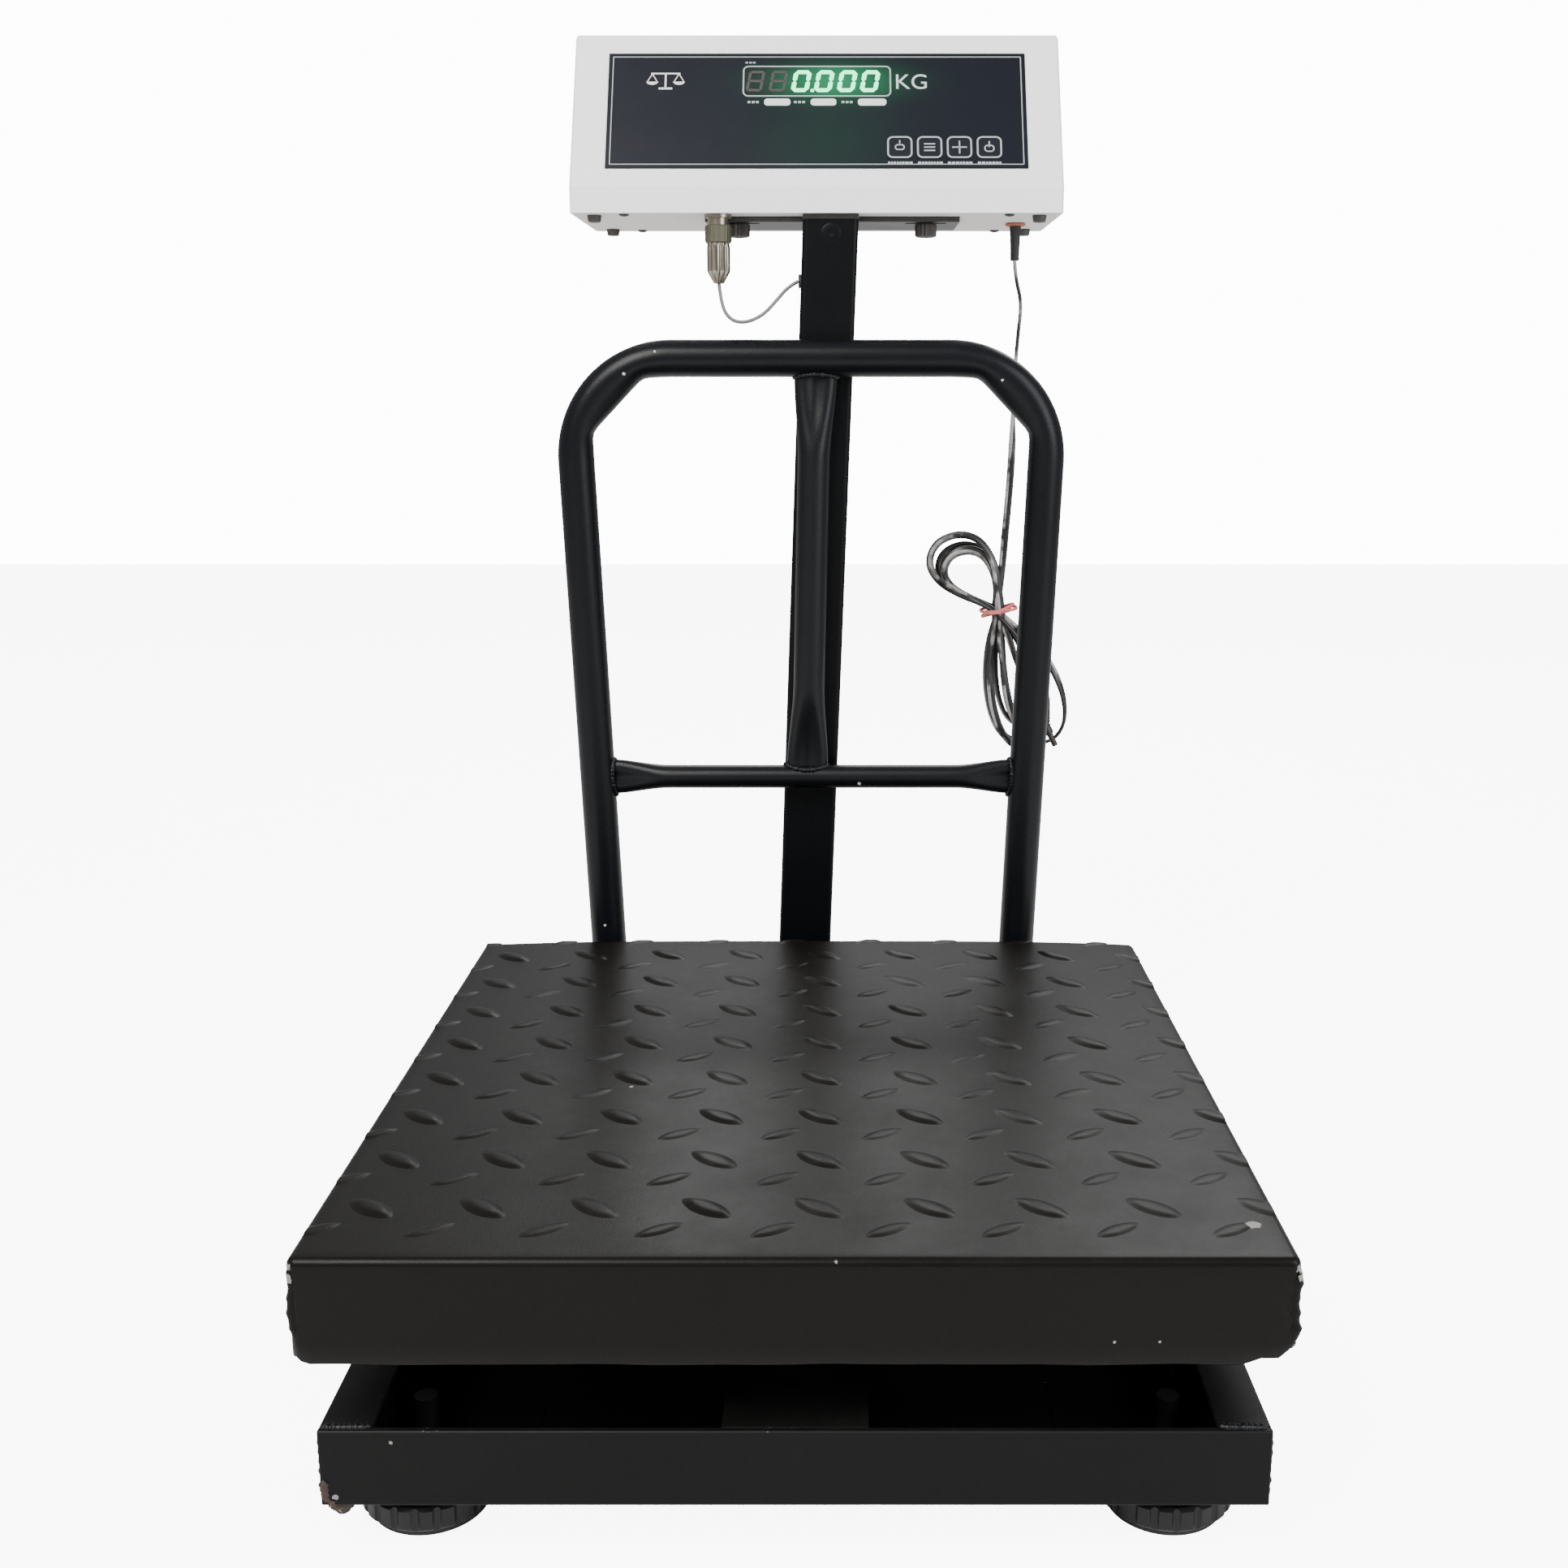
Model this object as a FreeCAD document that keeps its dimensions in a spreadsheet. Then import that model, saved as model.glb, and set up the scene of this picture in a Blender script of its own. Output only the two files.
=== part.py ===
import FreeCAD, Part
import math
import os
import re

import Sketcher
from FreeCAD import Placement, Rotation, Vector

# Platform shipping scale, 100 kg class. Millimetres, +Z up, origin on the floor under the middle
# of the whole outline, X to the right and Y to the back for someone who faces the display.

DIMENSIONS = (
    # weighing pan
    ("pan_side", 400), ("pan_y", -70), ("pan_top", 135), ("pan_plate", 3), ("pan_skirt", 46),
    ("pan_sheet", 2.5), ("pan_fold", 2.5), ("pan_pad_radius", 15), ("pan_pad_rise", 5),
    # base frame
    ("base_side", 388), ("base_floor", 22), ("base_rise", 34), ("angle_sheet", 3),
    ("angle_flange", 22), ("side_tube", 22), ("tube_wall", 2), ("beam_wide", 60), ("beam_sheet", 4),
    ("floor_sheet", 1.5), ("sheet_gap", 0.3),
    # levelling feet
    ("foot_reach", 158), ("foot_plate", 60), ("foot_plate_sheet", 5), ("wheel_radius", 29),
    ("wheel_low", 3), ("wheel_high", 15), ("wheel_chamfer", 1.5), ("flute_radius", 2.2),
    ("flute_count", 20), ("stud_radius", 5), ("stud_top", 50), ("stud_clearance", 0.05),
    ("jam_nut_flats", 17), ("jam_nut_rise", 5), ("foot_pad_radius", 25),
    # load cell and upper frame
    ("cell_long", 150), ("cell_wide", 38), ("cell_rise", 36), ("cell_low", 62), ("cell_bore", 11),
    ("cell_bore_reach", 18), ("cell_bolt_radius", 4), ("cell_bolt_inner", 38),
    ("cell_bolt_outer", 63), ("upper_tube", 25), ("upper_beam_wide", 50), ("upper_low", 102),
    ("upper_reach", 140), ("upper_cross_long", 340), ("pan_pad_reach", 150),
    # rear shelf, guard rail and column
    ("shelf_long", 300), ("shelf_deep", 70), ("shelf_sheet", 4), ("guard_x", 2), ("guard_y", 147),
    ("pipe_radius", 10.65), ("pipe_wall", 2.6), ("guard_top", 486.4), ("corner_half", 140.65),
    ("leg_splay", 2.093), ("bend_radius", 57), ("socket_wall", 3), ("socket_rise", 38),
    ("crossbar_z", 237), ("bar_radius", 7.25), ("bar_end_tall", 11), ("bar_end_thin", 4),
    ("flare_long", 38), ("strut_radius", 9.5), ("strut_end_wide", 12.5), ("strut_end_thin", 4.5),
    ("strut_low_x", -1), ("strut_high_x", 5),
    ("column_x", -5.6), ("column_lean", 2.185), ("column_wide", 32.5), ("column_deep", 25),
    ("column_corner", 3),
    ("flange_wide", 84), ("flange_deep", 40), ("flange_sheet", 5), ("flange_bolt_x", 33),
    ("flange_bolt_y", 13), ("cable_exit_z", 531), ("cable_entry_z", 72),
    # indicator
    ("case_x", 5.5), ("case_wide", 285), ("case_front", 154), ("case_deep", 116),
    ("case_floor", 568), ("case_rise", 105), ("case_lip", 15), ("case_run", 49),
    ("case_wall", 1.5), ("case_fold", 2.5), ("bracket_x", 14.5), ("bracket_half", 75), ("bracket_front", 175),
    ("bracket_back", 230), ("bracket_sheet", 3), ("knob_reach", 55.5), ("knob_y", 185),
    ("knob_radius", 6.5), ("knob_rise", 8), ("overlay_wide", 244), ("overlay_tall", 78),
    ("overlay_sheet", 0.6), ("overlay_middle", 50), ("window_wide", 85), ("window_tall", 21.5),
    ("window_middle", 69.8), ("key_side", 14.8), ("key_gap", 0.1), ("key_pitch", 17.25),
    ("key_first", 48), ("key_middle", 24.8), ("key_proud", 0.9), ("key_depth", 2.9),
    ("socket_x", -52), ("socket_y", 164), ("inlet_x", 126.3), ("inlet_y", 216),
    # cables
    ("lead_wide", 4.8), ("cell_cable", 2.2),
)
ALIASES = {alias for alias, number in DIMENSIONS}

doc = FreeCAD.newDocument("platform_scale")
sheet = doc.addObject("Spreadsheet::Sheet", "Dimensions")
for row, (alias, number) in enumerate(DIMENSIONS, start=1):
    sheet.set(f"A{row}", alias)
    sheet.set(f"B{row}", str(number))
    sheet.setAlias(f"B{row}", alias)
doc.recompute()

pieces = []


# ---------------------------------------------------------------- tools

def size(alias):
    """The number in one cell of the sheet."""
    return float(sheet.get(alias))


def bind(thing, path, text):
    """Binds one property to an expression on the sheet's aliases."""
    def cell(word):
        return f"Dimensions.{word.group(0)}" if word.group(0) in ALIASES else word.group(0)
    thing.setExpression(path, re.sub(r"[a-z][a-z0-9_]+", cell, str(text)))


def piece(thing, label):
    """Names a finished sub-part. Its label becomes its file name."""
    thing.Label = label
    pieces.append(thing)
    return thing


def place(thing, x, y, z, rotation=Rotation()):
    thing.Placement = Placement(Vector(), rotation)
    for axis, text in zip("xyz", (x, y, z)):
        bind(thing, f".Placement.Base.{axis}", text)
    return thing


def box(name, wide, deep, tall, x, y, z):
    """A block with its low corner at x, y, z."""
    block = doc.addObject("Part::Box", name)
    for prop, text in zip(("Length", "Width", "Height"), (wide, deep, tall)):
        bind(block, prop, text)
    return place(block, x, y, z)


ALONG = {"x": Rotation(Vector(0, 1, 0), 90), "y": Rotation(Vector(1, 0, 0), -90), "z": Rotation()}


def cylinder(name, radius, tall, x, y, z, axis="z"):
    rod = doc.addObject("Part::Cylinder", name)
    bind(rod, "Radius", radius)
    bind(rod, "Height", tall)
    return place(rod, x, y, z, ALONG[axis])


def cone(name, low_radius, high_radius, tall, x, y, z):
    taper = doc.addObject("Part::Cone", name)
    for prop, text in zip(("Radius1", "Radius2", "Height"), (low_radius, high_radius, tall)):
        bind(taper, prop, text)
    return place(taper, x, y, z)


def joined(name, kind, things):
    """A compound or a fusion of several objects."""
    whole = doc.addObject(kind, name)
    if kind == "Part::Compound":
        whole.Links = things
    else:
        whole.Shapes = things
    return whole


def cut(name, base, tools):
    cutter = tools[0] if len(tools) == 1 else joined(name + "_tools", "Part::Compound", tools)
    result = doc.addObject("Part::Cut", name)
    result.Base = base
    result.Tool = cutter
    return result


def made(name, shape):
    """A sub-part whose shape is worked out here from the sheet's sizes."""
    feature = doc.addObject("Part::Feature", name)
    feature.Shape = shape
    return feature


def new_body(name):
    return doc.addObject("PartDesign::Body", name)


def sketch_on(body, role, name, offset="0"):
    """A sketch on one of the body's own origin planes, moved along the plane's normal."""
    sketch = body.newObject("Sketcher::SketchObject", name)
    plane = next(f for f in body.Origin.OriginFeatures if f.Role == role)
    sketch.AttachmentSupport = [(plane, "")]
    sketch.MapMode = "FlatFace"
    bind(sketch, ".AttachmentOffset.Base.z", offset)
    return sketch


def polygon(sketch, corners):
    """A closed outline whose every corner is bound to the sheet."""
    count = len(corners)
    spots = [Vector(math.cos(2 * math.pi * i / count), math.sin(2 * math.pi * i / count), 0) * 50
             for i in range(count)]
    lines = [sketch.addGeometry(Part.LineSegment(spots[i], spots[(i + 1) % count]), False)
             for i in range(count)]
    for i in range(count):
        after = lines[(i + 1) % count]
        sketch.addConstraint(Sketcher.Constraint("Coincident", lines[i], 2, after, 1))
    for line, (across, up) in zip(lines, corners):
        for kind, text in (("DistanceX", across), ("DistanceY", up)):
            rule = sketch.addConstraint(Sketcher.Constraint(kind, -1, 1, line, 1, 1.0))
            bind(sketch, f"Constraints[{rule}]", text)


def rectangle(sketch, low_x, low_y, high_x, high_y):
    polygon(sketch, ((low_x, low_y), (high_x, low_y), (high_x, high_y), (low_x, high_y)))


def circle(sketch, across, up, radius):
    ring = sketch.addGeometry(Part.Circle(Vector(1, 1, 0), Vector(0, 0, 1), 5), False)
    for kind, text in (("DistanceX", across), ("DistanceY", up)):
        rule = sketch.addConstraint(Sketcher.Constraint(kind, -1, 1, ring, 3, 1.0))
        bind(sketch, f"Constraints[{rule}]", text)
    rule = sketch.addConstraint(Sketcher.Constraint("Radius", ring, 5.0))
    bind(sketch, f"Constraints[{rule}]", radius)


def extrude(body, kind, sketch, length, name, symmetric=False, reverse=False):
    """A Pad or a Pocket of a sketch."""
    feature = body.newObject("PartDesign::" + kind, name)
    feature.Profile = sketch
    feature.SideType = "Symmetric" if symmetric else "One side"
    feature.Reversed = reverse
    bind(feature, "Length", length)
    return feature


def fillet(body, name, base, radius, wanted):
    """Rounds the edges of base that wanted(edge) picks."""
    doc.recompute()
    names = [f"Edge{i}" for i, edge in enumerate(base.Shape.Edges, start=1) if wanted(edge)]
    rounded = body.newObject("PartDesign::Fillet", name)
    rounded.Base = (base, names)
    bind(rounded, "Radius", radius)
    return rounded


def corners(reach_x, reach_y, middle_x=0.0, middle_y=0.0):
    """The four corners of a rectangle about its middle."""
    return [(middle_x + sx * reach_x, middle_y + sy * reach_y)
            for sx in (-1, 1) for sy in (-1, 1)]


def bolt(radius, long, head_radius, head_rise):
    """A bolt that points down, with its head on z = 0."""
    shank = Part.makeCylinder(radius, long, Vector(0, 0, -long))
    return shank.fuse(Part.makeCylinder(head_radius, head_rise)).removeSplitter()


def copies(name, shape, spots, rotation=Rotation()):
    """One sub-part that groups identical pieces, each a solid of its own."""
    solids = []
    for spot in spots:
        solid = shape.copy()
        solid.Placement = Placement(Vector(*spot), rotation)
        solids.append(solid)
    return piece(made(name, Part.makeCompound(solids)), name)


def tube_along(points, diameter, name):
    """A round tube of straight runs joined by tangent arcs, as large as the runs allow."""
    spots = [Vector(*point) for point in points]
    edges = []
    radii = []
    start = spots[0]
    for before, corner, after in zip(spots, spots[1:], spots[2:]):
        incoming = (corner - before).normalize()
        outgoing = (after - corner).normalize()
        half = incoming.getAngle(outgoing) / 2
        reach = 0.45 * min(before.distanceToPoint(corner), corner.distanceToPoint(after))
        radii.append(reach / math.tan(half))
        bisector = (outgoing - incoming).normalize()
        middle = corner + bisector * (radii[-1] / math.cos(half) - radii[-1])
        entry = corner - incoming * reach
        leave = corner + outgoing * reach
        edges.append(Part.LineSegment(start, entry).toShape())
        edges.append(Part.Arc(entry, middle, leave).toShape())
        start = leave
    edges.append(Part.LineSegment(start, spots[-1]).toShape())
    path = Part.Wire(edges)
    section = Part.Wire(Part.makeCircle(diameter / 2, spots[0], spots[1] - spots[0]))
    tube = path.makePipeShell([section], True, True)
    expected = math.pi * diameter ** 2 / 4 * path.Length
    print(f"{name}: {path.Length:.0f} mm, volume {tube.Volume / expected:.4f} of the expected,",
          "radii", " ".join(f"{radius:.0f}" for radius in radii))
    return tube


# ---------------------------------------------------------------- weighing pan

def platform_pan():
    body = new_body("pan_body")
    outline = sketch_on(body, "XY_Plane", "pan_outline", "pan_top")
    rectangle(outline, "-pan_side / 2", "pan_y - pan_side / 2",
              "pan_side / 2", "pan_y + pan_side / 2")
    block = extrude(body, "Pad", outline, "pan_skirt", "pan_block", reverse=True)
    hollow = sketch_on(body, "XY_Plane", "pan_hollow", "pan_top - pan_skirt")
    rectangle(hollow, "pan_sheet - pan_side / 2", "pan_y + pan_sheet - pan_side / 2",
              "pan_side / 2 - pan_sheet", "pan_y + pan_side / 2 - pan_sheet")
    shell = extrude(body, "Pocket", hollow, "pan_skirt - pan_plate", "pan_inside", reverse=True)
    reach = size("pan_side") / 2
    top = size("pan_top")

    def outer(edge):
        middle = edge.CenterOfMass
        upright = abs(abs(middle.x) - reach) < 0.01 and \
            abs(abs(middle.y - size("pan_y")) - reach) < 0.01
        return upright or middle.z > top - 0.01
    fillet(body, "pan_folds", shell, "pan_fold", outer)
    piece(body, "platform_pan")


def upper_frame():
    pad_shape = Part.makeCylinder(size("pan_pad_radius"), size("pan_pad_rise"))
    spots = corners(size("pan_pad_reach"), size("upper_reach"), 0, size("pan_y"))
    pad_z = size("upper_low") + size("upper_tube")
    copies("pan_pads", pad_shape, [(x, y, pad_z) for x, y in spots])

    bars = []
    for sign in ("-", "+"):
        middle = f"pan_y {sign} upper_reach"
        outer = box("cross_outer", "upper_cross_long", "upper_tube", "upper_tube",
                    "-upper_cross_long / 2", f"{middle} - upper_tube / 2", "upper_low")
        inner = box("cross_inner", "upper_cross_long", "upper_tube - 2 * tube_wall",
                    "upper_tube - 2 * tube_wall", "-upper_cross_long / 2",
                    f"{middle} - upper_tube / 2 + tube_wall", "upper_low + tube_wall")
        bars.append(cut("cross_bar", outer, [inner]))
    piece(joined("cross_bars", "Part::Compound", bars), "upper_cross_beams")

    long = "2 * upper_reach - upper_tube"
    outer = box("beam_outer", "upper_beam_wide", long, "upper_tube", "-upper_beam_wide / 2",
                "pan_y - upper_reach + upper_tube / 2", "upper_low")
    inner = box("beam_inner", "upper_beam_wide - 2 * tube_wall", long,
                "upper_tube - 2 * tube_wall", "tube_wall - upper_beam_wide / 2",
                "pan_y - upper_reach + upper_tube / 2", "upper_low + tube_wall")
    holes = []
    for reach in ("cell_bolt_inner", "cell_bolt_outer"):
        holes.append(cylinder("bolt_hole", "cell_bolt_radius", "upper_tube / 2",
                              "0", f"pan_y - {reach}", "upper_low - 1"))
        holes.append(cylinder("spanner_hole", "2 * cell_bolt_radius", "upper_tube",
                              "0", f"pan_y - {reach}", "upper_low + upper_tube / 2"))
    piece(cut("upper_beam", outer, [inner] + holes), "upper_center_beam")


# ---------------------------------------------------------------- load cell

SPACER_LONG = "(cell_long / 2 - cell_bolt_inner + 2.5 * cell_bolt_radius)"


def load_cell():
    body = new_body("cell_body")
    side = sketch_on(body, "YZ_Plane", "cell_side")
    rectangle(side, "pan_y - cell_long / 2", "cell_low",
              "pan_y + cell_long / 2", "cell_low + cell_rise")
    extrude(body, "Pad", side, "cell_wide", "cell_block", symmetric=True)
    middle = "cell_low + cell_rise / 2"
    for sign, tag in (("-", "front"), ("+", "rear")):
        eye = sketch_on(body, "YZ_Plane", f"cell_eye_{tag}")
        circle(eye, f"pan_y {sign} cell_bore_reach", middle, "cell_bore")
        extrude(body, "Pocket", eye, "2 * cell_wide", f"cell_bore_{tag}", symmetric=True)
    slot = sketch_on(body, "YZ_Plane", "cell_slot_outline")
    rectangle(slot, "pan_y - cell_bore_reach", f"{middle} - cell_bore / 2",
              "pan_y + cell_bore_reach", f"{middle} + cell_bore / 2")
    extrude(body, "Pocket", slot, "2 * cell_wide", "cell_slot", symmetric=True)
    holes = []
    for reach in ("cell_bolt_inner", "cell_bolt_outer"):
        holes.append(cylinder("cell_hole_rear", "cell_bolt_radius", "18",
                              "0", f"pan_y + {reach}", "cell_low"))
        holes.append(cylinder("cell_hole_front", "cell_bolt_radius + stud_clearance", "22",
                              "0", f"pan_y - {reach}", "cell_low + cell_rise - 22"))
    piece(cut("cell_drilled", body, holes), "load_cell")


def spacer(name, sign, low, tall):
    """The block between the load cell's end and the frame; sign picks the end."""
    start = "pan_y - cell_long / 2" if sign == "-" else f"pan_y + cell_long / 2 - {SPACER_LONG}"
    block = box(name + "_block", "cell_wide", SPACER_LONG, tall, "-cell_wide / 2", start, low)
    holes = [cylinder(name + "_hole", "cell_bolt_radius", "20", "0", f"pan_y {sign} {reach}",
                      f"{low} - 5") for reach in ("cell_bolt_inner", "cell_bolt_outer")]
    piece(cut(name + "_drilled", block, holes), name)


def cell_fasteners():
    radius = size("cell_bolt_radius")
    reaches = (size("cell_bolt_inner"), size("cell_bolt_outer"))
    upper = bolt(radius, 22, 6.5, 8)
    seat = size("upper_low") + size("tube_wall")
    copies("upper_cell_bolts", upper, [(0, size("pan_y") - reach, seat) for reach in reaches])
    lower = bolt(radius, 26, 6.5, 8)
    under = size("base_floor") + size("base_rise") - size("beam_sheet")
    copies("lower_cell_bolts", lower, [(0, size("pan_y") + reach, under) for reach in reaches],
           Rotation(Vector(1, 0, 0), 180))


STOP_Y = "(pan_y - cell_bolt_inner - 8)"


def overload_stop():
    """A grub screw that meets the cell's free end 1.3 mm below it, and its lock nut."""
    web = "base_floor + base_rise - beam_sheet"
    screw = cylinder("stop_screw", "cell_bolt_radius", "20.7", "0", STOP_Y, "cell_low - 22")
    nut = doc.addObject("Part::Prism", "stop_nut_hex")
    nut.Polygon = 6
    bind(nut, "Circumradius", "7.5")
    bind(nut, "Height", "6.5")
    place(nut, "0", STOP_Y, f"{web} - 6.5")
    hole = cylinder("stop_nut_hole", "cell_bolt_radius", "10", "0", STOP_Y, f"{web} - 8")
    locked = cut("stop_nut", nut, [hole])
    piece(joined("stop_pair", "Part::Compound", [screw, locked]), "overload_stop")


# ---------------------------------------------------------------- base

def end_rail(name, sign):
    """An angle iron across the base: upright flange outside, flat flange at the bottom."""
    body = new_body(name + "_body")
    inward = "+" if sign == "-" else "-"
    outside = f"pan_y {sign} base_side / 2"
    upright = sketch_on(body, "YZ_Plane", name + "_upright")
    rectangle(upright, outside, "base_floor", f"{outside} {inward} angle_sheet",
              "base_floor + base_rise")
    extrude(body, "Pad", upright, "base_side", name + "_wall", symmetric=True)
    flat = sketch_on(body, "YZ_Plane", name + "_flat")
    rectangle(flat, outside, "base_floor",
              f"{outside} {inward} (angle_sheet + angle_flange)", "base_floor + angle_sheet")
    extrude(body, "Pad", flat, "base_side - 2 * side_tube", name + "_flange", symmetric=True)
    if sign == "-":
        piece(body, name)
        return
    holes = [cylinder(name + "_hole", "4", "20", str(x), f"{outside} - 10",
                      "base_floor + base_rise / 2", "y") for x in SHELF_BOLT_X]
    piece(cut(name + "_drilled", body, holes), name)


SHELF_BOLT_X = (-120, -60, 60, 120)


def side_rails():
    rails = []
    long = "base_side - 2 * angle_sheet"
    start = "pan_y - base_side / 2 + angle_sheet"
    for low in ("-base_side / 2", "base_side / 2 - side_tube"):
        outer = box("side_outer", "side_tube", long, "base_rise", low, start, "base_floor")
        inner = box("side_inner", "side_tube - 2 * tube_wall", long,
                    "base_rise - 2 * tube_wall", f"{low} + tube_wall", start,
                    "base_floor + tube_wall")
        rails.append(cut("side_rail", outer, [inner]))
    piece(joined("side_rails", "Part::Compound", rails), "base_side_rails")


def center_beam():
    """A folded channel, open below, that stands on the flat flanges of both end rails."""
    body = new_body("center_beam_body")
    end = sketch_on(body, "XZ_Plane", "center_beam_end", "-pan_y")
    low = "base_floor + angle_sheet"
    high = "base_floor + base_rise"
    polygon(end, (("-beam_wide / 2", low), ("-beam_wide / 2", high), ("beam_wide / 2", high),
                  ("beam_wide / 2", low), ("beam_wide / 2 - beam_sheet", low),
                  ("beam_wide / 2 - beam_sheet", f"{high} - beam_sheet"),
                  ("beam_sheet - beam_wide / 2", f"{high} - beam_sheet"),
                  ("beam_sheet - beam_wide / 2", low)))
    extrude(body, "Pad", end, "base_side - 2 * angle_sheet", "center_beam_fold", symmetric=True)
    spots = ("pan_y + cell_bolt_inner", "pan_y + cell_bolt_outer", STOP_Y)
    holes = [cylinder("beam_hole", "cell_bolt_radius", "12", "0", y, f"{high} - 8")
             for y in spots]
    piece(cut("center_beam_drilled", body, holes), "base_center_beam")


def foot_plates():
    plates = []
    inner = size("base_side") / 2 - size("side_tube")
    flange = size("base_side") / 2 - size("angle_sheet") - size("angle_flange")
    side = size("foot_plate")
    for x, y in corners(1, 1):
        low_x = inner - side if x > 0 else -inner
        low_y = flange - side if y > 0 else -flange
        block = Part.makeBox(side, side, size("foot_plate_sheet"),
                             Vector(low_x, size("pan_y") + low_y, size("base_floor")))
        hole = Part.makeCylinder(size("stud_radius") + size("stud_clearance"), 20,
                                 Vector(x * size("foot_reach"),
                                        size("pan_y") + y * size("foot_reach"), 15))
        plates.append(block.cut(hole))
    piece(made("corner_plates", Part.makeCompound(plates)), "foot_plates")


def floor_sheets():
    """Two thin sheets that close the base's underside. They lie on the end rails' flanges,
    one on each side of the centre beam, and are notched round the foot plates."""
    start = "pan_y - base_side / 2 + angle_sheet"
    low = "base_floor + angle_sheet"
    wide = "(base_side / 2 - side_tube - beam_wide / 2 - 2 * sheet_gap)"
    notch = "(foot_plate + 2 * sheet_gap)"
    flange = "(base_side / 2 - angle_sheet - angle_flange + sheet_gap)"
    sheets = []
    for sign, left in (("-", f"-beam_wide / 2 - sheet_gap - {wide}"),
                       ("+", "beam_wide / 2 + sheet_gap")):
        sheet = box("floor_sheet", wide, "base_side - 2 * angle_sheet", "floor_sheet", left,
                    start, low)
        outer = "base_side / 2 - side_tube + sheet_gap"
        edge = f"-({outer})" if sign == "-" else f"{outer} - {notch}"
        notches = [box("sheet_notch", notch, notch, "10", edge, y, f"{low} - 1")
                   for y in (f"pan_y - {flange}", f"pan_y + {flange} - {notch}")]
        sheets.append(cut("notched_sheet", sheet, notches))
    piece(joined("floor_sheet_pair", "Part::Compound", sheets), "base_floor_sheets")


def jam_nuts():
    flats = size("jam_nut_flats")
    rise = size("jam_nut_rise")
    ring = [Vector(math.cos(math.pi * i / 3), math.sin(math.pi * i / 3), 0) * (flats / 3 ** 0.5)
            for i in range(7)]
    hexagon = Part.Face(Part.makePolygon(ring)).extrude(Vector(0, 0, rise))
    nut = hexagon.cut(Part.makeCylinder(size("stud_radius") + size("stud_clearance"), rise))
    spots = corners(size("foot_reach"), size("foot_reach"), 0, size("pan_y"))
    copies("foot_jam_nuts", nut, [(x, y, size("base_floor") - rise) for x, y in spots])


FEET = (("fl", "-", "-"), ("fr", "+", "-"), ("rl", "-", "+"), ("rr", "+", "+"))


def foot(tag, sign_x, sign_y):
    """A fluted wheel moulded on its stud, and the rubber pad it turns on."""
    x = f"0 {sign_x} foot_reach"
    y = f"pan_y {sign_y} foot_reach"
    body = new_body("wheel_body_" + tag)
    half = sketch_on(body, "XZ_Plane", "wheel_half_" + tag)
    polygon(half, (("0", "wheel_low"), ("wheel_radius - 1.5 * wheel_chamfer", "wheel_low"),
                   ("wheel_radius", "wheel_low + 1.5 * wheel_chamfer"),
                   ("wheel_radius", "wheel_high - wheel_chamfer"),
                   ("wheel_radius - wheel_chamfer", "wheel_high"),
                   ("1.8 * stud_radius", "wheel_high"), ("1.8 * stud_radius", "wheel_high + 1"),
                   ("stud_radius", "wheel_high + 1"), ("stud_radius", "stud_top"),
                   ("0", "stud_top")))
    turned = body.newObject("PartDesign::Revolution", "wheel_turned_" + tag)
    turned.Profile = half
    turned.ReferenceAxis = (half, ["V_Axis"])
    turned.Angle = 360
    flute = sketch_on(body, "XY_Plane", "flute_outline_" + tag)
    circle(flute, "wheel_radius + flute_radius / 2", "0", "flute_radius")
    groove = extrude(body, "Pocket", flute, "4 * wheel_high", "flute_" + tag, symmetric=True)
    ring = body.newObject("PartDesign::PolarPattern", "flutes_" + tag)
    ring.Originals = [groove]
    ring.Axis = (half, ["V_Axis"])
    ring.Angle = 360
    bind(ring, "Occurrences", "flute_count")
    body.Tip = ring
    place(body, x, y, "0")
    piece(body, "foot_wheel_" + tag)
    piece(cylinder("pad_disc_" + tag, "foot_pad_radius", "wheel_low", x, y, "0"),
          "foot_pad_" + tag)


# ---------------------------------------------------------------- rear shelf and column

SHELF_FRONT = "(pan_y + base_side / 2)"
SHELF_TOP = "(base_floor + base_rise)"
COLUMN_Y = "(guard_y + pipe_radius + column_deep / 2)"


def rear_shelf():
    body = new_body("shelf_body")
    end = sketch_on(body, "YZ_Plane", "shelf_end", "guard_x")
    back = f"({SHELF_FRONT} + shelf_deep)"
    polygon(end, ((SHELF_FRONT, "base_floor"), (SHELF_FRONT, SHELF_TOP), (back, SHELF_TOP),
                  (back, "base_floor"), (f"{back} - shelf_sheet", "base_floor"),
                  (f"{back} - shelf_sheet", f"{SHELF_TOP} - shelf_sheet"),
                  (f"{SHELF_FRONT} + shelf_sheet", f"{SHELF_TOP} - shelf_sheet"),
                  (f"{SHELF_FRONT} + shelf_sheet", "base_floor")))
    extrude(body, "Pad", end, "shelf_long", "shelf_fold", symmetric=True)
    holes = [cylinder("shelf_hole", "4", "20", str(x), f"{SHELF_FRONT} - 10",
                      "base_floor + base_rise / 2", "y") for x in SHELF_BOLT_X]
    holes += [cylinder("flange_tap", "3", "20", f"column_x {sx} flange_bolt_x",
                       f"{COLUMN_Y} {sy} flange_bolt_y", f"{SHELF_TOP} - 10")
              for sx in "-+" for sy in "-+"]
    piece(cut("shelf_drilled", body, holes), "rear_shelf")

    seat_y = size("pan_y") + size("base_side") / 2 + size("shelf_sheet")
    middle = size("base_floor") + size("base_rise") / 2
    copies("rear_shelf_bolts", bolt(4, 14, 6.5, 5.3), [(x, seat_y, middle) for x in SHELF_BOLT_X],
           Rotation(Vector(1, 0, 0), -90))


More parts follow.
